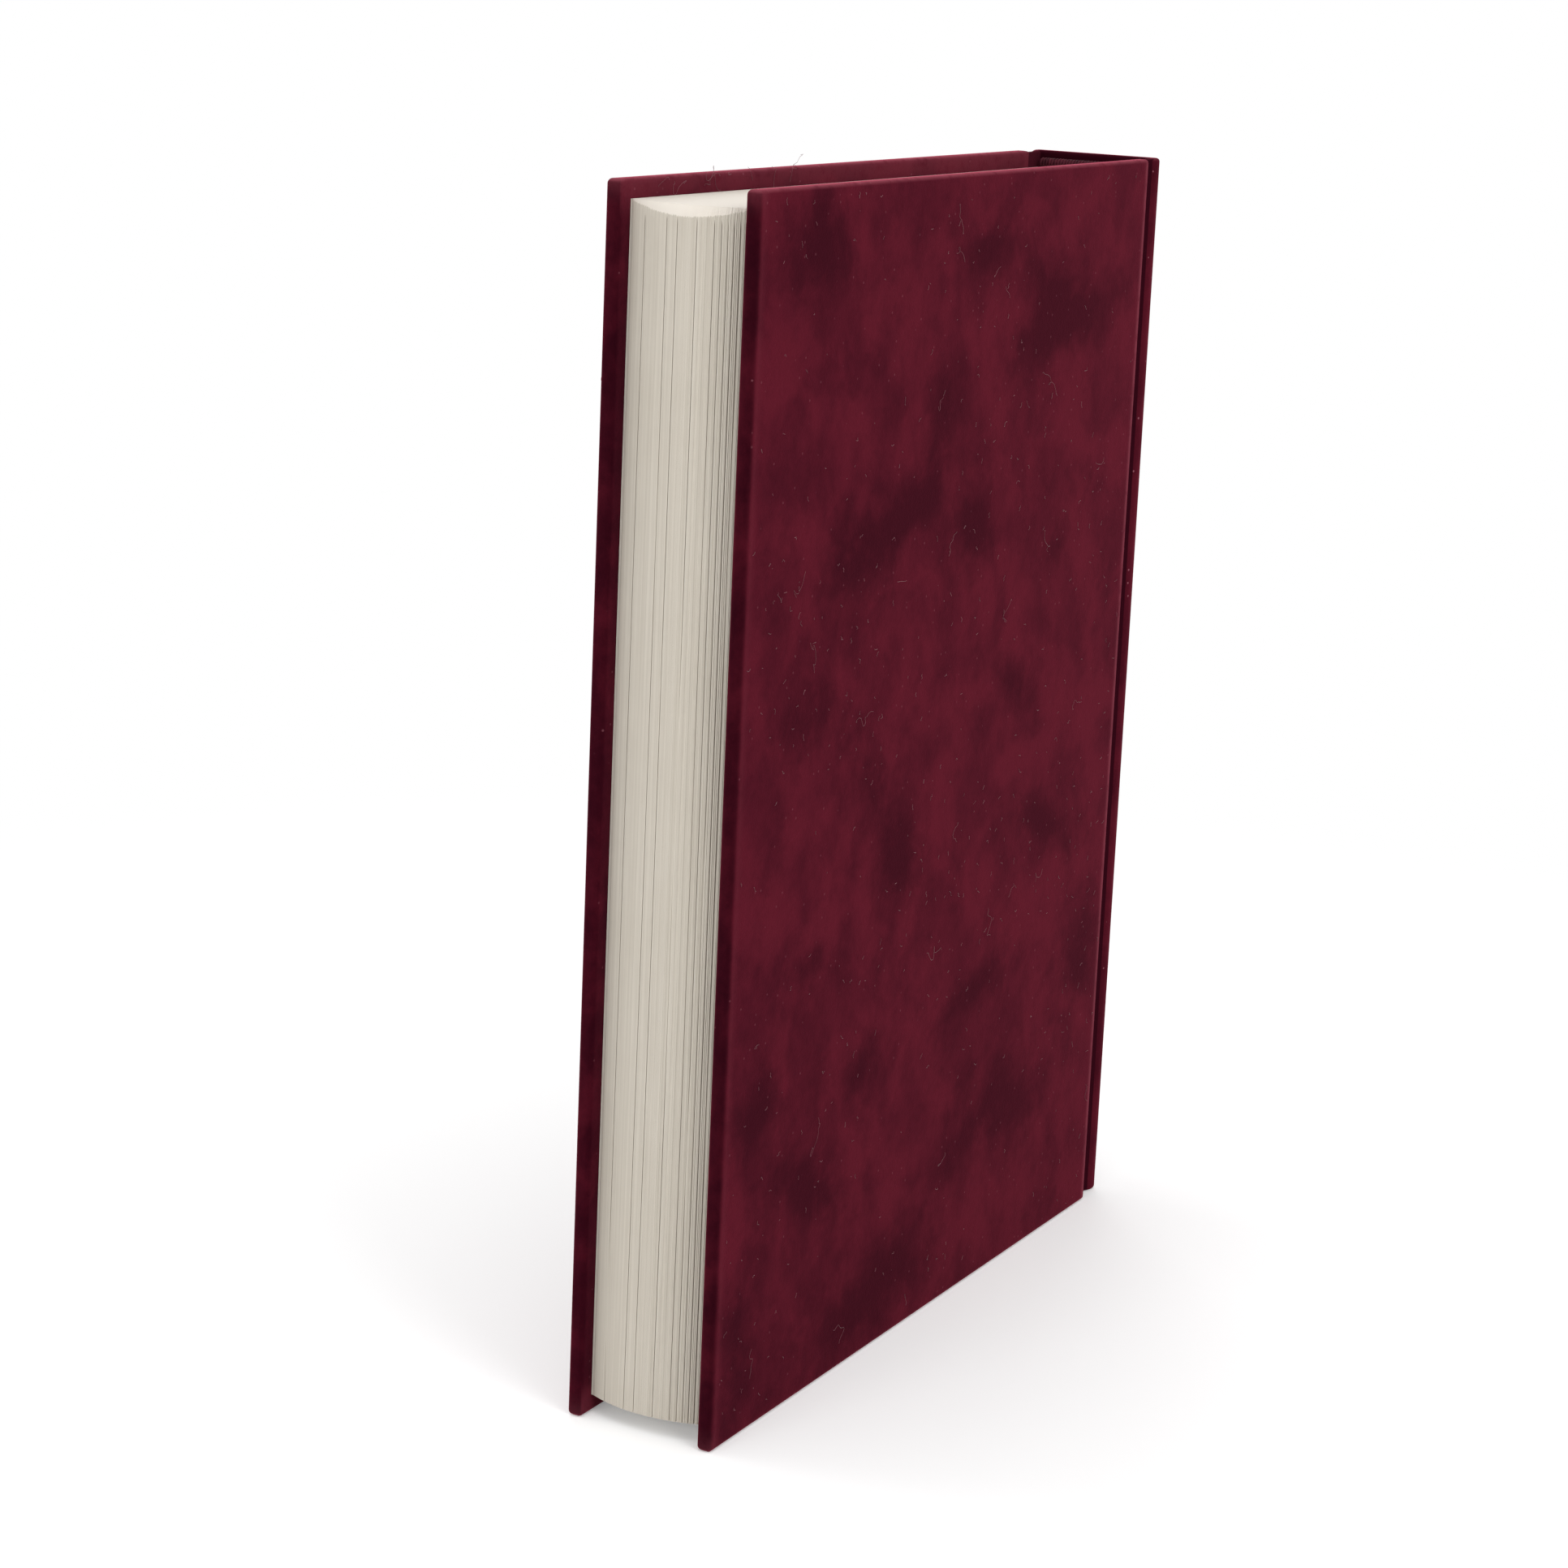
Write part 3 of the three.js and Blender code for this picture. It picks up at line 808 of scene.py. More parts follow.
def brushed_and_painted_shade(places, at, side):
    """How dark the cloth is at each place: the pile's brushed marks on the outer face of a cover, with
    painted shade on the fore edge's rounding, inside the board and on the spine's inner wall, and
    painted light beside the fore edge, inside near head and tail, and over the joint.
    The front cover has the marks upside down, so that the two covers differ."""
    height = places[:, 2] if side < 0 else HEIGHT - places[:, 2]
    marks = np.zeros(len(places))
    for along, up, length, width, slant, depth in BRUSHED_MARKS:
        turn = math.radians(slant)
        x = at.from_fore_edge - along * MM
        z = height - up * MM
        lengthwise = (x * math.cos(turn) + z * math.sin(turn)) / (length * MM)
        crosswise = (z * math.cos(turn) - x * math.sin(turn)) / (width * MM)
        marks += depth * np.exp(-(lengthwise ** 2 + crosswise ** 2))
    # Painted light over the joint's groove, against the shadow there; the spine stays plain
    spine = np.where(at.x > HINGE_X, SPINE_SHADE, JOINT_PAINTED_LIGHT)
    shade = np.where(at.over_board, np.clip(marks, 0, 1) * at.outside, spine)
    # Painted shade on the fore edge's rounding, painted light on the strip beside it
    edge = np.clip(1.5 * (1 - at.from_fore_edge / BOARD_EDGE_RADIUS), 0, 1)
    shade = np.maximum(shade, FORE_EDGE_PAINTED_SHADE * edge) - FORE_EDGE_PAINTED_LIGHT * at.fore_edge_highlight_strip
    # Painted shade on the inside of the board, lifted by painted light near head and tail
    shade = np.where(at.inside_board, TURN_IN_PAINTED_SHADE - TURN_IN_PAINTED_LIGHT * at.near_end, shade)
    # Painted shade on the spine's inner wall, in its hollow
    return np.where(at.inside_spine, INSIDE_SPINE_PAINTED_SHADE, shade)


def wear_and_painted_highlights(at):
    """How pale the pile is at each place: worn corners, head and tail edges partly worn and partly a
    painted highlight, and painted highlights on the ridge, beside the fore edge and inside near head
    and tail.
    """
    # Head and tail rims: partly worn, partly a painted highlight for the light from above
    wear_and_highlight = np.clip(1 - at.from_end / RIM_WIDTH, 0, 1)
    wear_and_highlight *= np.where(at.over_board, 1.0, SPINE_RIM_WEAR_AND_HIGHLIGHT)
    corner = np.clip(1 - np.hypot(at.from_end, at.from_fore_edge) / CORNER_WEAR_REACH, 0, 1)
    # A painted highlight along the ridge at the board's end
    from_ridge = np.abs(at.x - BOARD_END + RIDGE_INSET)
    ridge = np.clip(1 - from_ridge / RIDGE_WIDTH, 0, 1) * at.outside
    wear_and_highlights = wear_and_highlight + CORNER_WEAR * corner + RIDGE_HIGHLIGHT * ridge + FORE_EDGE_HIGHLIGHT * at.fore_edge_highlight_strip
    wear_and_highlights = np.clip(wear_and_highlights, 0, 1)
    # Painted highlight on the inside of the board near head and tail
    wear_and_highlights = np.where(at.inside_board, np.maximum(wear_and_highlights, TURN_IN_HIGHLIGHT * at.near_end), wear_and_highlights)
    return np.where(at.inside_spine, 0.0, wear_and_highlights)


def case_cloth(name, side):
    """The velvet over one board, its joint and half of the spine, as one closed skin."""
    points, columns = [], []
    for outer, inner, outer_way, inner_way, rounding, dip in case_profile():
        for place, way in ((outer, outer_way), (inner, inner_way)):
            column = []
            for z, inset in row_levels(rounding, dip):
                x, y = place[0] - way[0] * inset, place[1] - way[1] * inset
                x, z = round_cover_corner(x, z)
                column.append(len(points))
                points.append((x, side * y, z))
            columns.append(column)
    cloth = mesh_from(name, points, skin_faces(columns[0::2], columns[1::2]))
    places = points_of(cloth)
    at = ClothPlaces(places)
    store(cloth, "rest", places, "FLOAT_VECTOR")
    # The pale share holds worn places and painted highlights; the brushed value holds the pile's marks
    # with painted shade and painted light
    store(cloth, "wear_and_highlight", wear_and_painted_highlights(at))
    store(cloth, "brushed", brushed_and_painted_shade(places, at, side))
    cloth.data.materials.append(VELVET)
    return cloth


def bend_at_joint(piece, side):
    """Bakes the sheet's placement into its points; the front and back sheets are treated alike."""
    if side == 1:
        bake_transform(piece)
    else:
        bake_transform(piece)


def build_case():
    for name, side in (("front", 1), ("back", -1)):
        cloth = case_cloth(f"{name}_case_velvet", side)
        bend_at_joint(cloth, side)
        nodes = [f"{name}_cover_cloth"] + (["spine_cloth"] if side == 1 else [])
        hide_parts(*nodes)


# Endpapers

def build_endpapers():
    """Each pasted-down endpaper, carried across the joint to the fold of the flyleaf."""
    fold = HINGE_X + JOINT_BEND_END
    over_board = np.linspace(pastedown_low.x, BOARD_END, ENDPAPER_BOARD_COLUMNS)
    over_joint = np.linspace(BOARD_END, fold, ENDPAPER_JOINT_COLUMNS)[1:]
    heights = np.linspace(pastedown_low.z, pastedown_high.z, ENDPAPER_ROWS)
    for name, side in (("front", 1), ("back", -1)):
        points, faces_of_sheet = [], []
        for y in (COVER_INNER - PASTE_THICKNESS, pastedown_low.y):
            columns = []
            for x in (*over_board, *over_joint):
                columns.append(range(len(points), len(points) + ENDPAPER_ROWS))
                points += [(x, side * y, z) for z in heights]
            faces_of_sheet.append(columns)
        sheet = mesh_from(f"{name}_endpaper", points, skin_faces(*faces_of_sheet), smooth=False)
        store(sheet, "rest", points_of(sheet), "FLOAT_VECTOR")
        sheet.data.materials.append(PASTED_PAPER)
        bend_at_joint(sheet, side)
        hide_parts(f"{name}_pastedown")


# Pages

def one_leaf(name):
    """A single leaf, with rows up its height that crowd towards the head."""
    pitch = (pages_high.y - pages_low.y) / LEAF_COUNT
    under_corner = pages_high.z - HEAD_CORNER_HEIGHT - 0.2 * MM
    levels = [*np.linspace(pages_low.z, under_corner - OPEN_FADE, PAGE_ROWS), under_corner]
    for step in range(HEAD_CORNER_ROWS + 1):
        levels.append(pages_high.z - HEAD_CORNER_HEIGHT * (1 - step / HEAD_CORNER_ROWS))
    front = pages_low.x + FORE_EDGE_BOW
    back = pages_high.x
    outline = ((front, -pitch / 2), (back, -pitch / 2), (back, pitch / 2), (front, pitch / 2))
    points = [(x, y, z) for z in levels for x, y in outline]
    faces = []
    for row in range(len(levels) - 1):
        for corner in range(4):
            a, b = 4 * row + corner, 4 * row + (corner + 1) % 4
            faces.append((a, b, b + 4, a + 4))
    faces.append((0, 3, 2, 1))
    last = 4 * (len(levels) - 1)
    faces.append((last, last + 1, last + 2, last + 3))
    return mesh_from(name, points, faces, smooth=False)


def leaf_stack_tree():
    """Stacks leaves into sewn sections: bowed at the fore edge, folded at the back,
    each a little in or out and thicker or thinner, with its corner eased at the head."""
    tree = new_group(
        "leaf_stack", "GeometryNodeTree",
        [("Leaf", GEOMETRY, None), ("Leaves", INTEGER, 100), ("Pitch", FLOAT, 0.00015),
         ("Sections", FLOAT, 18.0), ("Front", FLOAT, 0.0), ("Back", FLOAT, 0.0), ("Top", FLOAT, 0.0),
         ("Bow Radius", FLOAT, 0.03), ("Bow", FLOAT, 0.003), ("Fold Depth", FLOAT, 0.0004),
         ("Corner Height", FLOAT, 0.002), ("Corner Depth", FLOAT, 0.0007),
         ("Unevenness", FLOAT, 0.0002), ("Waviness", FLOAT, 0.0001), ("Sway", FLOAT, 0.001),
         ("Opening", FLOAT, 0.002), ("Opening Fade", FLOAT, 0.001),
         ("Leaf Fill", FLOAT, 0.97), ("Leaf Thinning", FLOAT, 0.1),
         ("Seed", INTEGER, 7), ("Material", MATERIAL, None)],
        [("Pages", GEOMETRY)],
    )
    n = Nodes(tree)
    given = n.add("NodeGroupInput").outputs
    m = n.math

    def stored(geometry, name, value):
        node = n.add("GeometryNodeStoreNamedAttribute", data_type="FLOAT")
        for key, entry in (("Geometry", geometry), ("Name", name), ("Value", value)):
            n.put(node.inputs[key], entry)
        return node.outputs[0]

    def read(name):
        node = n.add("GeometryNodeInputNamedAttribute", {"Name": name}, data_type="FLOAT")
        return node.outputs[0]

    half = m("MULTIPLY", m("MULTIPLY", given["Leaves"], given["Pitch"]), 0.5)
    first = m("SUBTRACT", m("MULTIPLY", given["Pitch"], 0.5), half)
    line = n.add("GeometryNodeMeshLine", {
        "Count": given["Leaves"], "Start Location": n.vector(y=first),
        "Offset": n.vector(y=given["Pitch"]),
    }, mode="OFFSET").outputs[0]
    place = n.add("GeometryNodeInputPosition").outputs[0]
    now = n.add("ShaderNodeSeparateXYZ", {"Vector": place}).outputs
    placed = stored(line, "leaf_y", now["Y"])
    numbered = stored(placed, "leaf_number", n.add("GeometryNodeInputIndex").outputs[0])
    copies = n.add("GeometryNodeInstanceOnPoints", {"Points": numbered, "Instance": given["Leaf"]})
    stack = n.add("GeometryNodeRealizeInstances", {"Geometry": copies.outputs[0]}).outputs[0]

    leaf_y = read("leaf_y")
    leaf = read("leaf_number")
    leaf_id = n.add("FunctionNodeFloatToInt", {"Float": leaf}).outputs[0]

    def chance(offset):
        seed = m("ADD", given["Seed"], float(offset))
        node = n.add("FunctionNodeRandomValue", {"ID": leaf_id, "Seed": seed}, data_type="FLOAT")
        return node.outputs["Value"]

    def noise_place(along, seed, rise):
        """A place in a noise that changes across the leaves, with the seed and up the pages."""
        return n.vector(along, seed, m("MULTIPLY", now["Z"], rise))

    width = m("SUBTRACT", given["Back"], given["Front"])
    frontness = m("DIVIDE", m("SUBTRACT", given["Back"], now["X"]), width)
    share = m("DIVIDE", m("ADD", leaf, 0.5), given["Leaves"])
    looser = n.span(share, 0.0, 0.55, 1.0, 0.14)

    # Fore edge: an arc across the pages, each leaf a little in or out
    square = m("SUBTRACT", m("POWER", given["Bow Radius"], 2.0), m("POWER", leaf_y, 2.0))
    bow_centre = m("ADD", m("SUBTRACT", given["Front"], given["Bow"]), given["Bow Radius"])
    arc = m("SUBTRACT", bow_centre, m("SQRT", square))
    in_out = m("MULTIPLY", m("MULTIPLY", chance(1), looser), given["Unevenness"])
    wave_place = noise_place(m("MULTIPLY", leaf, 0.11), m("ADD", given["Seed"], 0.37), 6.0)
    wave_noise = n.noise(wave_place, 1.0, detail=1.0)
    wave = m("MULTIPLY", m("SUBTRACT", wave_noise, 0.5), given["Waviness"])

    # Here and there a leaf stands well back, and the pages show a dark line
    opened = 0.0
    for number, spot in enumerate(OPEN_PLACES):
        off = m("MULTIPLY", m("ABSOLUTE", m("SUBTRACT", share, spot)), given["Leaves"])
        fade_place = noise_place(float(number), m("MULTIPLY", given["Seed"], 1.3), 11.0)
        fade = n.span(n.noise(fade_place, 1.0, detail=1.0), 0.30, 0.50)
        opened = m("ADD", opened, m("MULTIPLY", m("LESS_THAN", off, 0.51), fade))
    below_top = m("SUBTRACT", given["Top"], now["Z"])
    under_corner = m("SUBTRACT", below_top, given["Corner Height"])
    closing = n.span(under_corner, 0.0, given["Opening Fade"])
    stand_back = m("MULTIPLY", m("MULTIPLY", opened, given["Opening"]), closing)

    # Back: the leaves of one section meet in one rounded fold
    per_section = m("DIVIDE", given["Leaves"], given["Sections"])
    in_section = m("FRACT", m("DIVIDE", m("ADD", leaf, 0.5), per_section))
    off_middle = m("SUBTRACT", m("MULTIPLY", in_section, 2.0), 1.0)
    roundness = m("SQRT", m("SUBTRACT", 1.0, m("MULTIPLY", m("POWER", off_middle, 2.0), 0.98)))
    fold = m("MULTIPLY", m("SUBTRACT", 1.0, roundness), given["Fold Depth"])

    # Head: the front corner is eased, most in the middle of the pages
    climb = m("SUBTRACT", 1.0, m("DIVIDE", below_top, given["Corner Height"]), clamp=True)
    middle_share = m("SUBTRACT", 1.0, m("POWER", m("DIVIDE", leaf_y, half), 2.0))
    jagged = m("ADD", m("MULTIPLY", middle_share, 0.88), m("MULTIPLY", chance(2), 0.12))
    corner_edge = m("MULTIPLY", jagged, given["Corner Height"])
    ease = m("MULTIPLY", m("MULTIPLY", m("POWER", climb, 1.5), given["Corner Depth"]), middle_share)

    front_x = m("ADD", m("ADD", m("ADD", arc, in_out), m("ADD", wave, ease)), stand_back)
    back_x = m("SUBTRACT", given["Back"], fold)
    span_x = m("MULTIPLY", m("SUBTRACT", front_x, back_x), frontness)
    thinning = m("MULTIPLY", frontness, given["Leaf Thinning"])
    thinned = m("MULTIPLY", m("MULTIPLY", chance(3), looser), thinning)
    thickness = m("SUBTRACT", given["Leaf Fill"], thinned)
    side_y = m("MULTIPLY", m("SUBTRACT", now["Y"], leaf_y), thickness)
    sway_place = noise_place(m("MULTIPLY", leaf_y, 45.0), m("ADD", given["Seed"], 7.7), 5.0)
    sway_noise = n.noise(sway_place, 1.0, detail=0.0)
    sway = m("MULTIPLY", m("SUBTRACT", sway_noise, 0.5), given["Sway"])
    aside = m("MULTIPLY", m("MULTIPLY", sway, frontness), middle_share)
    new_y = m("ADD", m("ADD", leaf_y, side_y), aside)
    moved = n.vector(m("ADD", back_x, span_x), new_y, now["Z"])
    shaped = n.add("GeometryNodeSetPosition", {"Geometry": stack, "Position": moved}).outputs[0]

    # Tones for the material
    drift_place = n.vector(m("MULTIPLY", leaf, 0.24), given["Seed"])
    drift = n.noise(drift_place, 1.0, detail=3.0, roughness=0.6)
    wide = m("MULTIPLY", m("SUBTRACT", drift, 0.5), m("ADD", 0.5, m("MULTIPLY", looser, 2.2)))
    swing = m("MULTIPLY", m("SUBTRACT", chance(4), 0.5), m("ADD", 0.2, m("MULTIPLY", looser, 0.35)))
    toned = stored(shaped, "leaf_tone", m("ADD", m("ADD", wide, 0.62), swing, clamp=True))
    edged = stored(toned, "below_head", m("SUBTRACT", below_top, corner_edge))
    end_tree(n, edged, given["Material"])
    return tree


def build_pages():
    half = (pages_high.y - pages_low.y) / 2
    bow_radius = (half ** 2 + FORE_EDGE_BOW ** 2) / (2 * FORE_EDGE_BOW)
    pages = one_leaf("page_leaves")
    run_tree(
        pages, leaf_stack_tree(),
        Leaves=LEAF_COUNT, Pitch=2 * half / LEAF_COUNT, Sections=float(SECTION_COUNT),
        Front=pages_low.x + FORE_EDGE_BOW, Back=pages_high.x, Top=pages_high.z,
        Bow_Radius=bow_radius, Bow=FORE_EDGE_BOW, Fold_Depth=FOLD_DEPTH,
        Corner_Height=HEAD_CORNER_HEIGHT, Corner_Depth=HEAD_CORNER_DEPTH,
        Unevenness=PAGE_UNEVENNESS, Waviness=PAGE_WAVINESS, Sway=PAGE_SWAY,
        Opening=OPEN_DEPTH, Opening_Fade=OPEN_FADE, Leaf_Fill=LEAF_FILL,
        Leaf_Thinning=LEAF_THINNING, Seed=11, Material=PAGE_EDGES,
    )
    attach(pages, "book_block")
    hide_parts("pages")


# Headbands

def wound_band_tree():
    """Thread wound round a cord from end to end, lying along Y."""
    tree = new_group(
        "wound_band", "GeometryNodeTree",
        [("Tape", GEOMETRY, None), ("Turns", FLOAT, 30.0), ("Length", FLOAT, 0.02),
         ("Core Radius", FLOAT, 0.0008), ("Thread Radius", FLOAT, 0.0003),
         ("Centre", VECTOR, None), ("Material", MATERIAL, None)],
        [("Band", GEOMETRY)],
    )
    n = Nodes(tree)
    given = n.add("NodeGroupInput").outputs
    coil = n.add("GeometryNodeCurveSpiral", {
        "Resolution": 14, "Rotations": given["Turns"], "Start Radius": given["Core Radius"],
        "End Radius": given["Core Radius"], "Height": given["Length"],
    }).outputs[0]
    section = n.add("GeometryNodeCurvePrimitiveCircle", {
        "Resolution": 8, "Radius": given["Thread Radius"],
    })
    thread = n.add("GeometryNodeCurveToMesh", {
        "Curve": coil, "Profile Curve": section.outputs[0], "Fill Caps": True,
    }).outputs[0]
    core = n.add("GeometryNodeMeshCylinder", {
        "Vertices": 16, "Radius": given["Core Radius"], "Depth": given["Length"],
    }).outputs[0]
    lift = n.math("MULTIPLY", given["Length"], 0.5)
    raised = n.add("GeometryNodeTransform", {
        "Geometry": core, "Translation": n.vector(z=lift),
    }).outputs[0]
    joined = n.add("GeometryNodeJoinGeometry")
    for part in (raised, thread):
        tree.links.new(part, joined.inputs[0])
    drop = n.math("MULTIPLY", lift, -1.0)
    centred = n.add("GeometryNodeTransform", {
        "Geometry": joined.outputs[0], "Translation": n.vector(z=drop),
    }).outputs[0]
    laid = n.add("GeometryNodeTransform", {
        "Geometry": centred, "Translation": given["Centre"], "Rotation": (math.pi / 2, 0, 0),
    }).outputs[0]
    whole = n.add("GeometryNodeJoinGeometry")
    for part in (laid, given["Tape"]):
        tree.links.new(part, whole.inputs[0])
    smooth = n.add("GeometryNodeSetShadeSmooth", {"Geometry": whole.outputs[0]}).outputs[0]
    end_tree(n, smooth, given["Material"])
    return tree


def tape_strip(name, low, high):
    """The tape that holds a band to the back of the pages, with its edges eased."""
    shell = bmesh.new()
    bmesh.ops.create_cube(shell, size=1.0)
    size = high - low
    for vertex in shell.verts:
        vertex.co = Vector([low[i] + (vertex.co[i] + 0.5) * size[i] for i in range(3)])
    bmesh.ops.bevel(shell, geom=shell.edges[:], offset=BAND_TAPE_EDGE, segments=2,
                    affect="EDGES", profile=0.5)
    mesh = bpy.data.meshes.new(name)
    shell.to_mesh(mesh)
    shell.free()
    return named_object(name, mesh)


def build_bands():
    tree = wound_band_tree()
    reach = BAND_CORE_RADIUS + BAND_THREAD_RADIUS
    for name, at_head in (("headband", True), ("tailband", False)):
        low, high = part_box(name)
        tape_low = Vector((high.x - BAND_TAPE_THICKNESS, low.y, low.z))
        tape_high = high.copy()
        if at_head:
            tape_high.z = cord_height = high.z - reach
        else:
            tape_low.z = cord_height = low.z + reach
        band = tape_strip(name + "_wound", tape_low, tape_high)
        cord_x = high.x - BAND_TAPE_THICKNESS / 2 - reach * BAND_STAND_OFF
        run_tree(
            band, tree, Turns=float(BAND_TURNS), Length=high.y - low.y - 2 * BAND_THREAD_RADIUS,
            Core_Radius=BAND_CORE_RADIUS, Thread_Radius=BAND_THREAD_RADIUS,
            Centre=(cord_x, 0.0, cord_height), Material=BAND_THREAD,
        )
        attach(band, "book_block")
        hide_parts(name)


# Lint on the velvet

def lint_tree():
    """Short curled fibres lying at random on a flat patch that faces up, all in one mesh."""
    tree = new_group(
        "loose_fibres", "GeometryNodeTree",
        [("Nothing", GEOMETRY, None), ("Width", FLOAT, 0.1), ("Height", FLOAT, 0.1),
         ("Count", FLOAT, 50.0), ("Fibre Length", FLOAT, 0.006), ("Radius", FLOAT, 0.00005),
         ("Curl", FLOAT, 0.004), ("Curl Pitch", FLOAT, 0.0023), ("Rise", FLOAT, 0.0004),
         ("Bends", INTEGER, 14), ("Centre", VECTOR, None),
         ("Turn", VECTOR, None), ("Seed", INTEGER, 3),
         ("Material", MATERIAL, None)],
        [("Fibres", GEOMETRY)],
    )
    n = Nodes(tree)
    given = n.add("NodeGroupInput").outputs
    m = n.math
    patch = n.add("GeometryNodeMeshGrid", {
        "Size X": given["Width"], "Size Y": given["Height"], "Vertices X": 24, "Vertices Y": 32,
    }).outputs[0]
    where = n.add("GeometryNodeInputPosition").outputs[0]
    crowding = n.span(n.noise(where, 17.0, detail=1.0), 0.40, 0.62, 0.25, 1.75)
    even = m("DIVIDE", given["Count"], m("MULTIPLY", given["Width"], given["Height"]))
    density = m("MULTIPLY", even, crowding)
    points = n.add("GeometryNodeDistributePointsOnFaces", {
        "Mesh": patch, "Density": density, "Seed": given["Seed"],
    }).outputs["Points"]
    half_length = m("MULTIPLY", given["Fibre Length"], 0.5)
    straight = n.add("GeometryNodeCurvePrimitiveLine", {
        "Start": n.vector(m("MULTIPLY", half_length, -1.0)), "End": n.vector(half_length),
    }).outputs[0]
    fibre = n.add("GeometryNodeResampleCurve", {"Curve": straight, "Count": given["Bends"]}).outputs[0]
    turned = n.add("FunctionNodeRandomValue", {
        "Min": (0, 0, 0), "Max": (0, 0, math.tau), "Seed": given["Seed"],
    }, data_type="FLOAT_VECTOR")
    longer = n.add("FunctionNodeRandomValue", {
        "Seed": m("ADD", given["Seed"], 1.0),
    }, data_type="FLOAT")
    shortest, longest = [s for s in longer.inputs if s.enabled and s.name in ("Min", "Max")]
    shortest.default_value = 0.25
    longest.default_value = 1.6
    spread = n.add("GeometryNodeInstanceOnPoints", {
        "Points": points, "Instance": fibre, "Rotation": turned.outputs["Value"],
        "Scale": longer.outputs["Value"],
    }).outputs[0]
    loose = n.add("GeometryNodeRealizeInstances", {"Geometry": spread}).outputs[0]
    place = n.add("GeometryNodeInputPosition").outputs[0]
    curl_scale = m("DIVIDE", 1.0, given["Curl Pitch"])
    curl_noise = n.add("ShaderNodeTexNoise", {"Vector": place, "Scale": curl_scale, "Detail": 1.0})
    centred = n.add("ShaderNodeVectorMath", {
        0: curl_noise.outputs["Color"], 1: (0.5, 0.5, 0.2),
    }, operation="SUBTRACT").outputs[0]
    reach = n.vector(given["Curl"], given["Curl"], given["Rise"])
    bend = n.add("ShaderNodeVectorMath", {0: centred, 1: reach}, operation="MULTIPLY").outputs[0]
    curled = n.add("GeometryNodeSetPosition", {"Geometry": loose, "Offset": bend}).outputs[0]
    section = n.add("GeometryNodeCurvePrimitiveCircle", {
        "Resolution": 4, "Radius": given["Radius"],
    }).outputs[0]
    strands = n.add("GeometryNodeCurveToMesh", {
        "Curve": curled, "Profile Curve": section, "Fill Caps": True,
    }).outputs[0]
    laid = n.add("GeometryNodeTransform", {
        "Geometry": strands, "Translation": given["Centre"], "Rotation": given["Turn"],
    }).outputs[0]
    smooth = n.add("GeometryNodeSetShadeSmooth", {"Geometry": laid}).outputs[0]
    end_tree(n, smooth, given["Material"])
    return tree


LOOSE_FIBRES = lint_tree()


def scatter_fibres(name, body, side, seed, count, fibre, size, centre):
    """Scatters fibres over a patch of a cover, width by height, facing out on that side."""
    lint = named_object(name, bpy.data.meshes.new(name))
    turn = (math.pi / 2, 0, 0) if side < 0 else (math.pi / 2, 0, math.pi)
    values = {key.replace(" ", "_"): value for key, value in fibre.items()}
    run_tree(
        lint, LOOSE_FIBRES, Width=size[0], Height=size[1], Count=float(count), Turn=turn,
        Centre=centre, Seed=seed, Material=LINT, **values,
    )
    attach(lint, body)


def build_lint():
    """Hairs and fluff on both covers, and a few hairs along the head of the front cover."""
    cover = (BOARD_END - FORE_EDGE - 2 * LINT_MARGIN, HEIGHT - 2 * LINT_MARGIN)
    middle = (FORE_EDGE + BOARD_END) / 2
    for body, side, seed in (("back_cover", -1, 4), ("front_cover", 1, 9)):
        centre = (middle, side * (COVER_OUTER + HAIR["Radius"]), HEIGHT / 2)
        scatter_fibres(body + "_hairs", body, side, seed, HAIR_COUNT, HAIR, cover, centre)
        scatter_fibres(body + "_fluff", body, side, seed + 20, FLUFF_COUNT, FLUFF, cover, centre)
    head = (FORE_EDGE + HEAD_HAIR_START + HEAD_HAIR_RUN / 2, COVER_INNER - HAIR["Radius"],
            HEIGHT - HEAD_HAIR_DROP)
    scatter_fibres("front_cover_head_hairs", "front_cover", -1, 5, HEAD_HAIR_COUNT, HAIR,
                   (HEAD_HAIR_RUN, HEAD_HAIR_BAND), head)


# Finishes on the CAD pieces that stay

def finish_cad_nodes():
    finishes = {
        "front_flyleaf": ENDPAPER,
        "back_flyleaf": ENDPAPER,
        "spine_lining": LINING,
        "spine_board": BOARD,
        "front_board": BOARD,
        "back_board": BOARD,
    }
    for node, material in finishes.items():
        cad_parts[node].data.materials.clear()
        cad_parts[node].data.materials.append(material)


# Stage, light and camera

def seen_directly(n):
    """1 for what the camera sees, itself or in a mirror or through glass."""
    path = n.add("ShaderNodeLightPath").outputs
    mirrored = n.math("MAXIMUM", path["Is Glossy Ray"], path["Is Transmission Ray"])
    return n.math("MAXIMUM", path["Is Camera Ray"], mirrored)


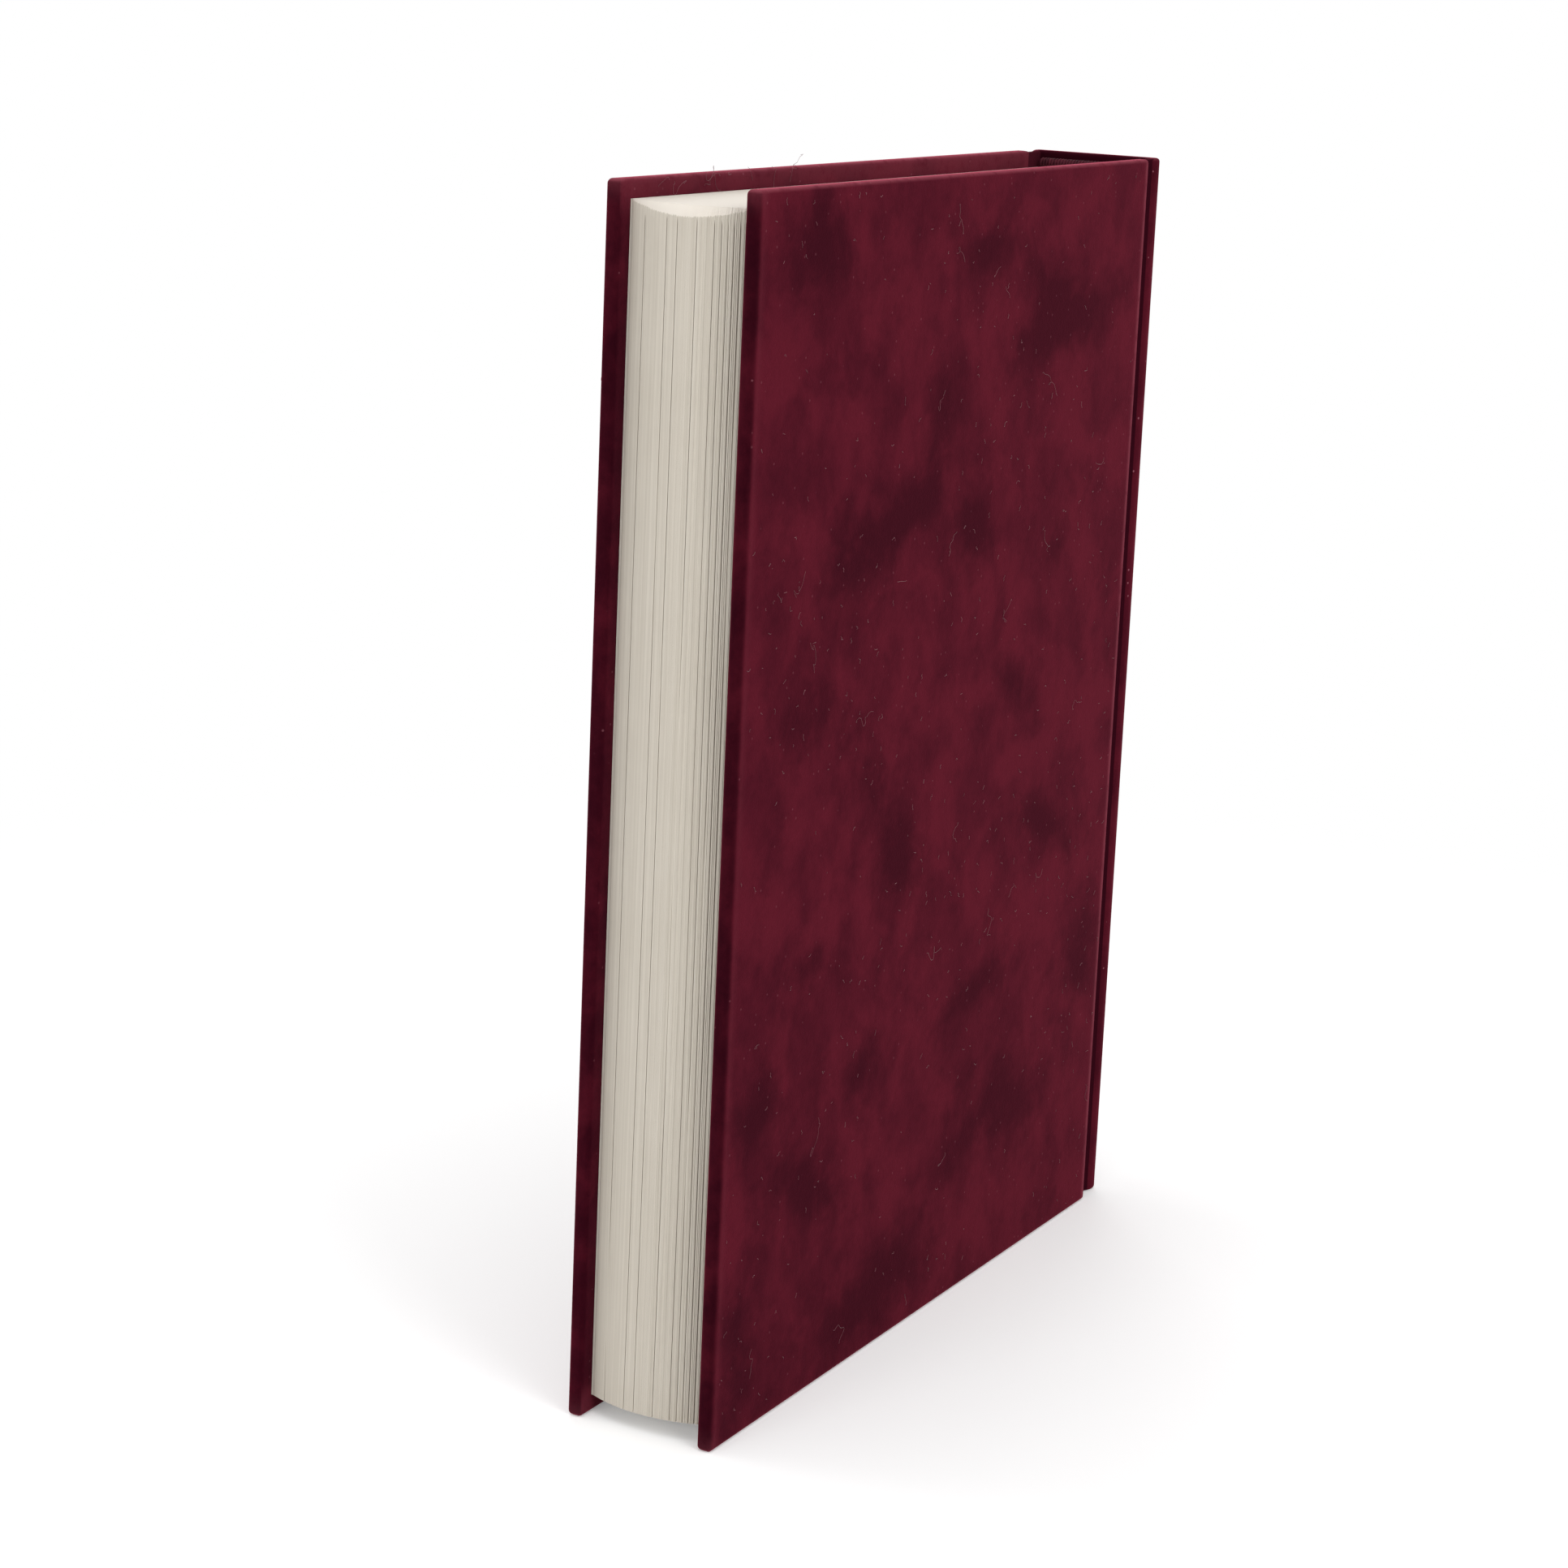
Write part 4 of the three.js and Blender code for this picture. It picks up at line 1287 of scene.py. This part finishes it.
def build_floor():
    """A pale floor that keeps the book's shadow and turns plain white away from it."""
    reach = FLOOR_REACH
    corners = [(-reach, -reach, 0), (reach, -reach, 0), (reach, reach, 0), (-reach, reach, 0)]
    floor = mesh_from("floor", corners, [(0, 1, 2, 3)], smooth=False)
    material, n, shader = new_material("pale_floor")
    shader.inputs["Base Color"].default_value = (FLOOR_TONE, FLOOR_TONE, FLOOR_TONE, 1)
    shader.inputs["Roughness"].default_value = 0.9
    shader.inputs["Specular IOR Level"].default_value = 0.0
    shader.inputs["Emission Color"].default_value = (1, 1, 1, 1)
    place = n.add("ShaderNodeTexCoord").outputs["Object"]
    distance = n.add("ShaderNodeVectorMath", {0: place}, operation="LENGTH").outputs["Value"]
    seen = seen_directly(n)
    n.put(shader.inputs["Emission Strength"], n.math("MULTIPLY", seen, FLOOR_GLOW))
    white = n.add("ShaderNodeEmission")
    away = n.math("MULTIPLY", n.span(distance, WHITE_START, WHITE_END), seen)
    faded = n.add("ShaderNodeMixShader")
    n.put(faded.inputs[0], away)
    n.put(faded.inputs[1], shader.outputs[0])
    n.put(faded.inputs[2], white.outputs[0])
    clear = n.add("ShaderNodeBsdfTransparent")
    underside = n.add("ShaderNodeMixShader")
    n.put(underside.inputs[0], n.add("ShaderNodeNewGeometry").outputs["Backfacing"])
    n.put(underside.inputs[1], faded.outputs[0])
    n.put(underside.inputs[2], clear.outputs[0])
    n.put(material.node_tree.nodes["Material Output"].inputs["Surface"], underside.outputs[0])
    floor.data.materials.append(material)


def build_world():
    world = bpy.data.worlds.new("soft_white_room")
    scene.world = world
    world.use_nodes = True
    n = Nodes(world.node_tree)
    background = world.node_tree.nodes["Background"]
    background.inputs["Color"].default_value = (1, 1, 1, 1)
    strength = n.span(seen_directly(n), 0.0, 1.0, ROOM_BRIGHTNESS, 1.0, kind="LINEAR")
    n.put(background.inputs["Strength"], strength)


def build_light():
    for name, place, width, power in LAMPS:
        data = bpy.data.lights.new(name, "AREA")
        data.shape = "DISK"
        data.size = width
        data.energy = power
        lamp = bpy.data.objects.new(name, data)
        scene.collection.objects.link(lamp)
        lamp.location = place
        lamp.rotation_mode = "QUATERNION"
        lamp.rotation_quaternion = (LAMP_TARGET - Vector(place)).to_track_quat("-Z", "Y")


def build_camera():
    data = bpy.data.cameras.new("camera")
    camera = bpy.data.objects.new("camera", data)
    scene.collection.objects.link(camera)
    data.sensor_width = SENSOR_WIDTH
    data.lens = SENSOR_WIDTH * FOCAL_PIXELS / IMAGE_WIDTH
    data.shift_y = (CENTRE_ROW - IMAGE_WIDTH / 2) / IMAGE_WIDTH
    data.clip_start = 0.01
    data.clip_end = 20.0
    level = math.cos(CAMERA_ELEVATION)
    back = Vector((
        math.sin(CAMERA_AZIMUTH) * level,
        -math.cos(CAMERA_AZIMUTH) * level,
        math.sin(CAMERA_ELEVATION),
    ))
    flat_right = Vector((0, 0, 1)).cross(back).normalized()
    flat_up = back.cross(flat_right)
    turn, lean = math.cos(CAMERA_ROLL), math.sin(CAMERA_ROLL)
    right = flat_right * turn + flat_up * lean
    up = flat_up * turn - flat_right * lean
    camera.matrix_world = Matrix((
        (right.x, up.x, back.x, CAMERA_PLACE.x),
        (right.y, up.y, back.y, CAMERA_PLACE.y),
        (right.z, up.z, back.z, CAMERA_PLACE.z),
        (0, 0, 0, 1),
    ))
    scene.camera = camera


scene.view_settings.view_transform = "Standard"
build_camera()
build_world()
build_light()
build_floor()
build_case()
build_endpapers()
build_pages()
build_bands()
build_lint()
finish_cad_nodes()
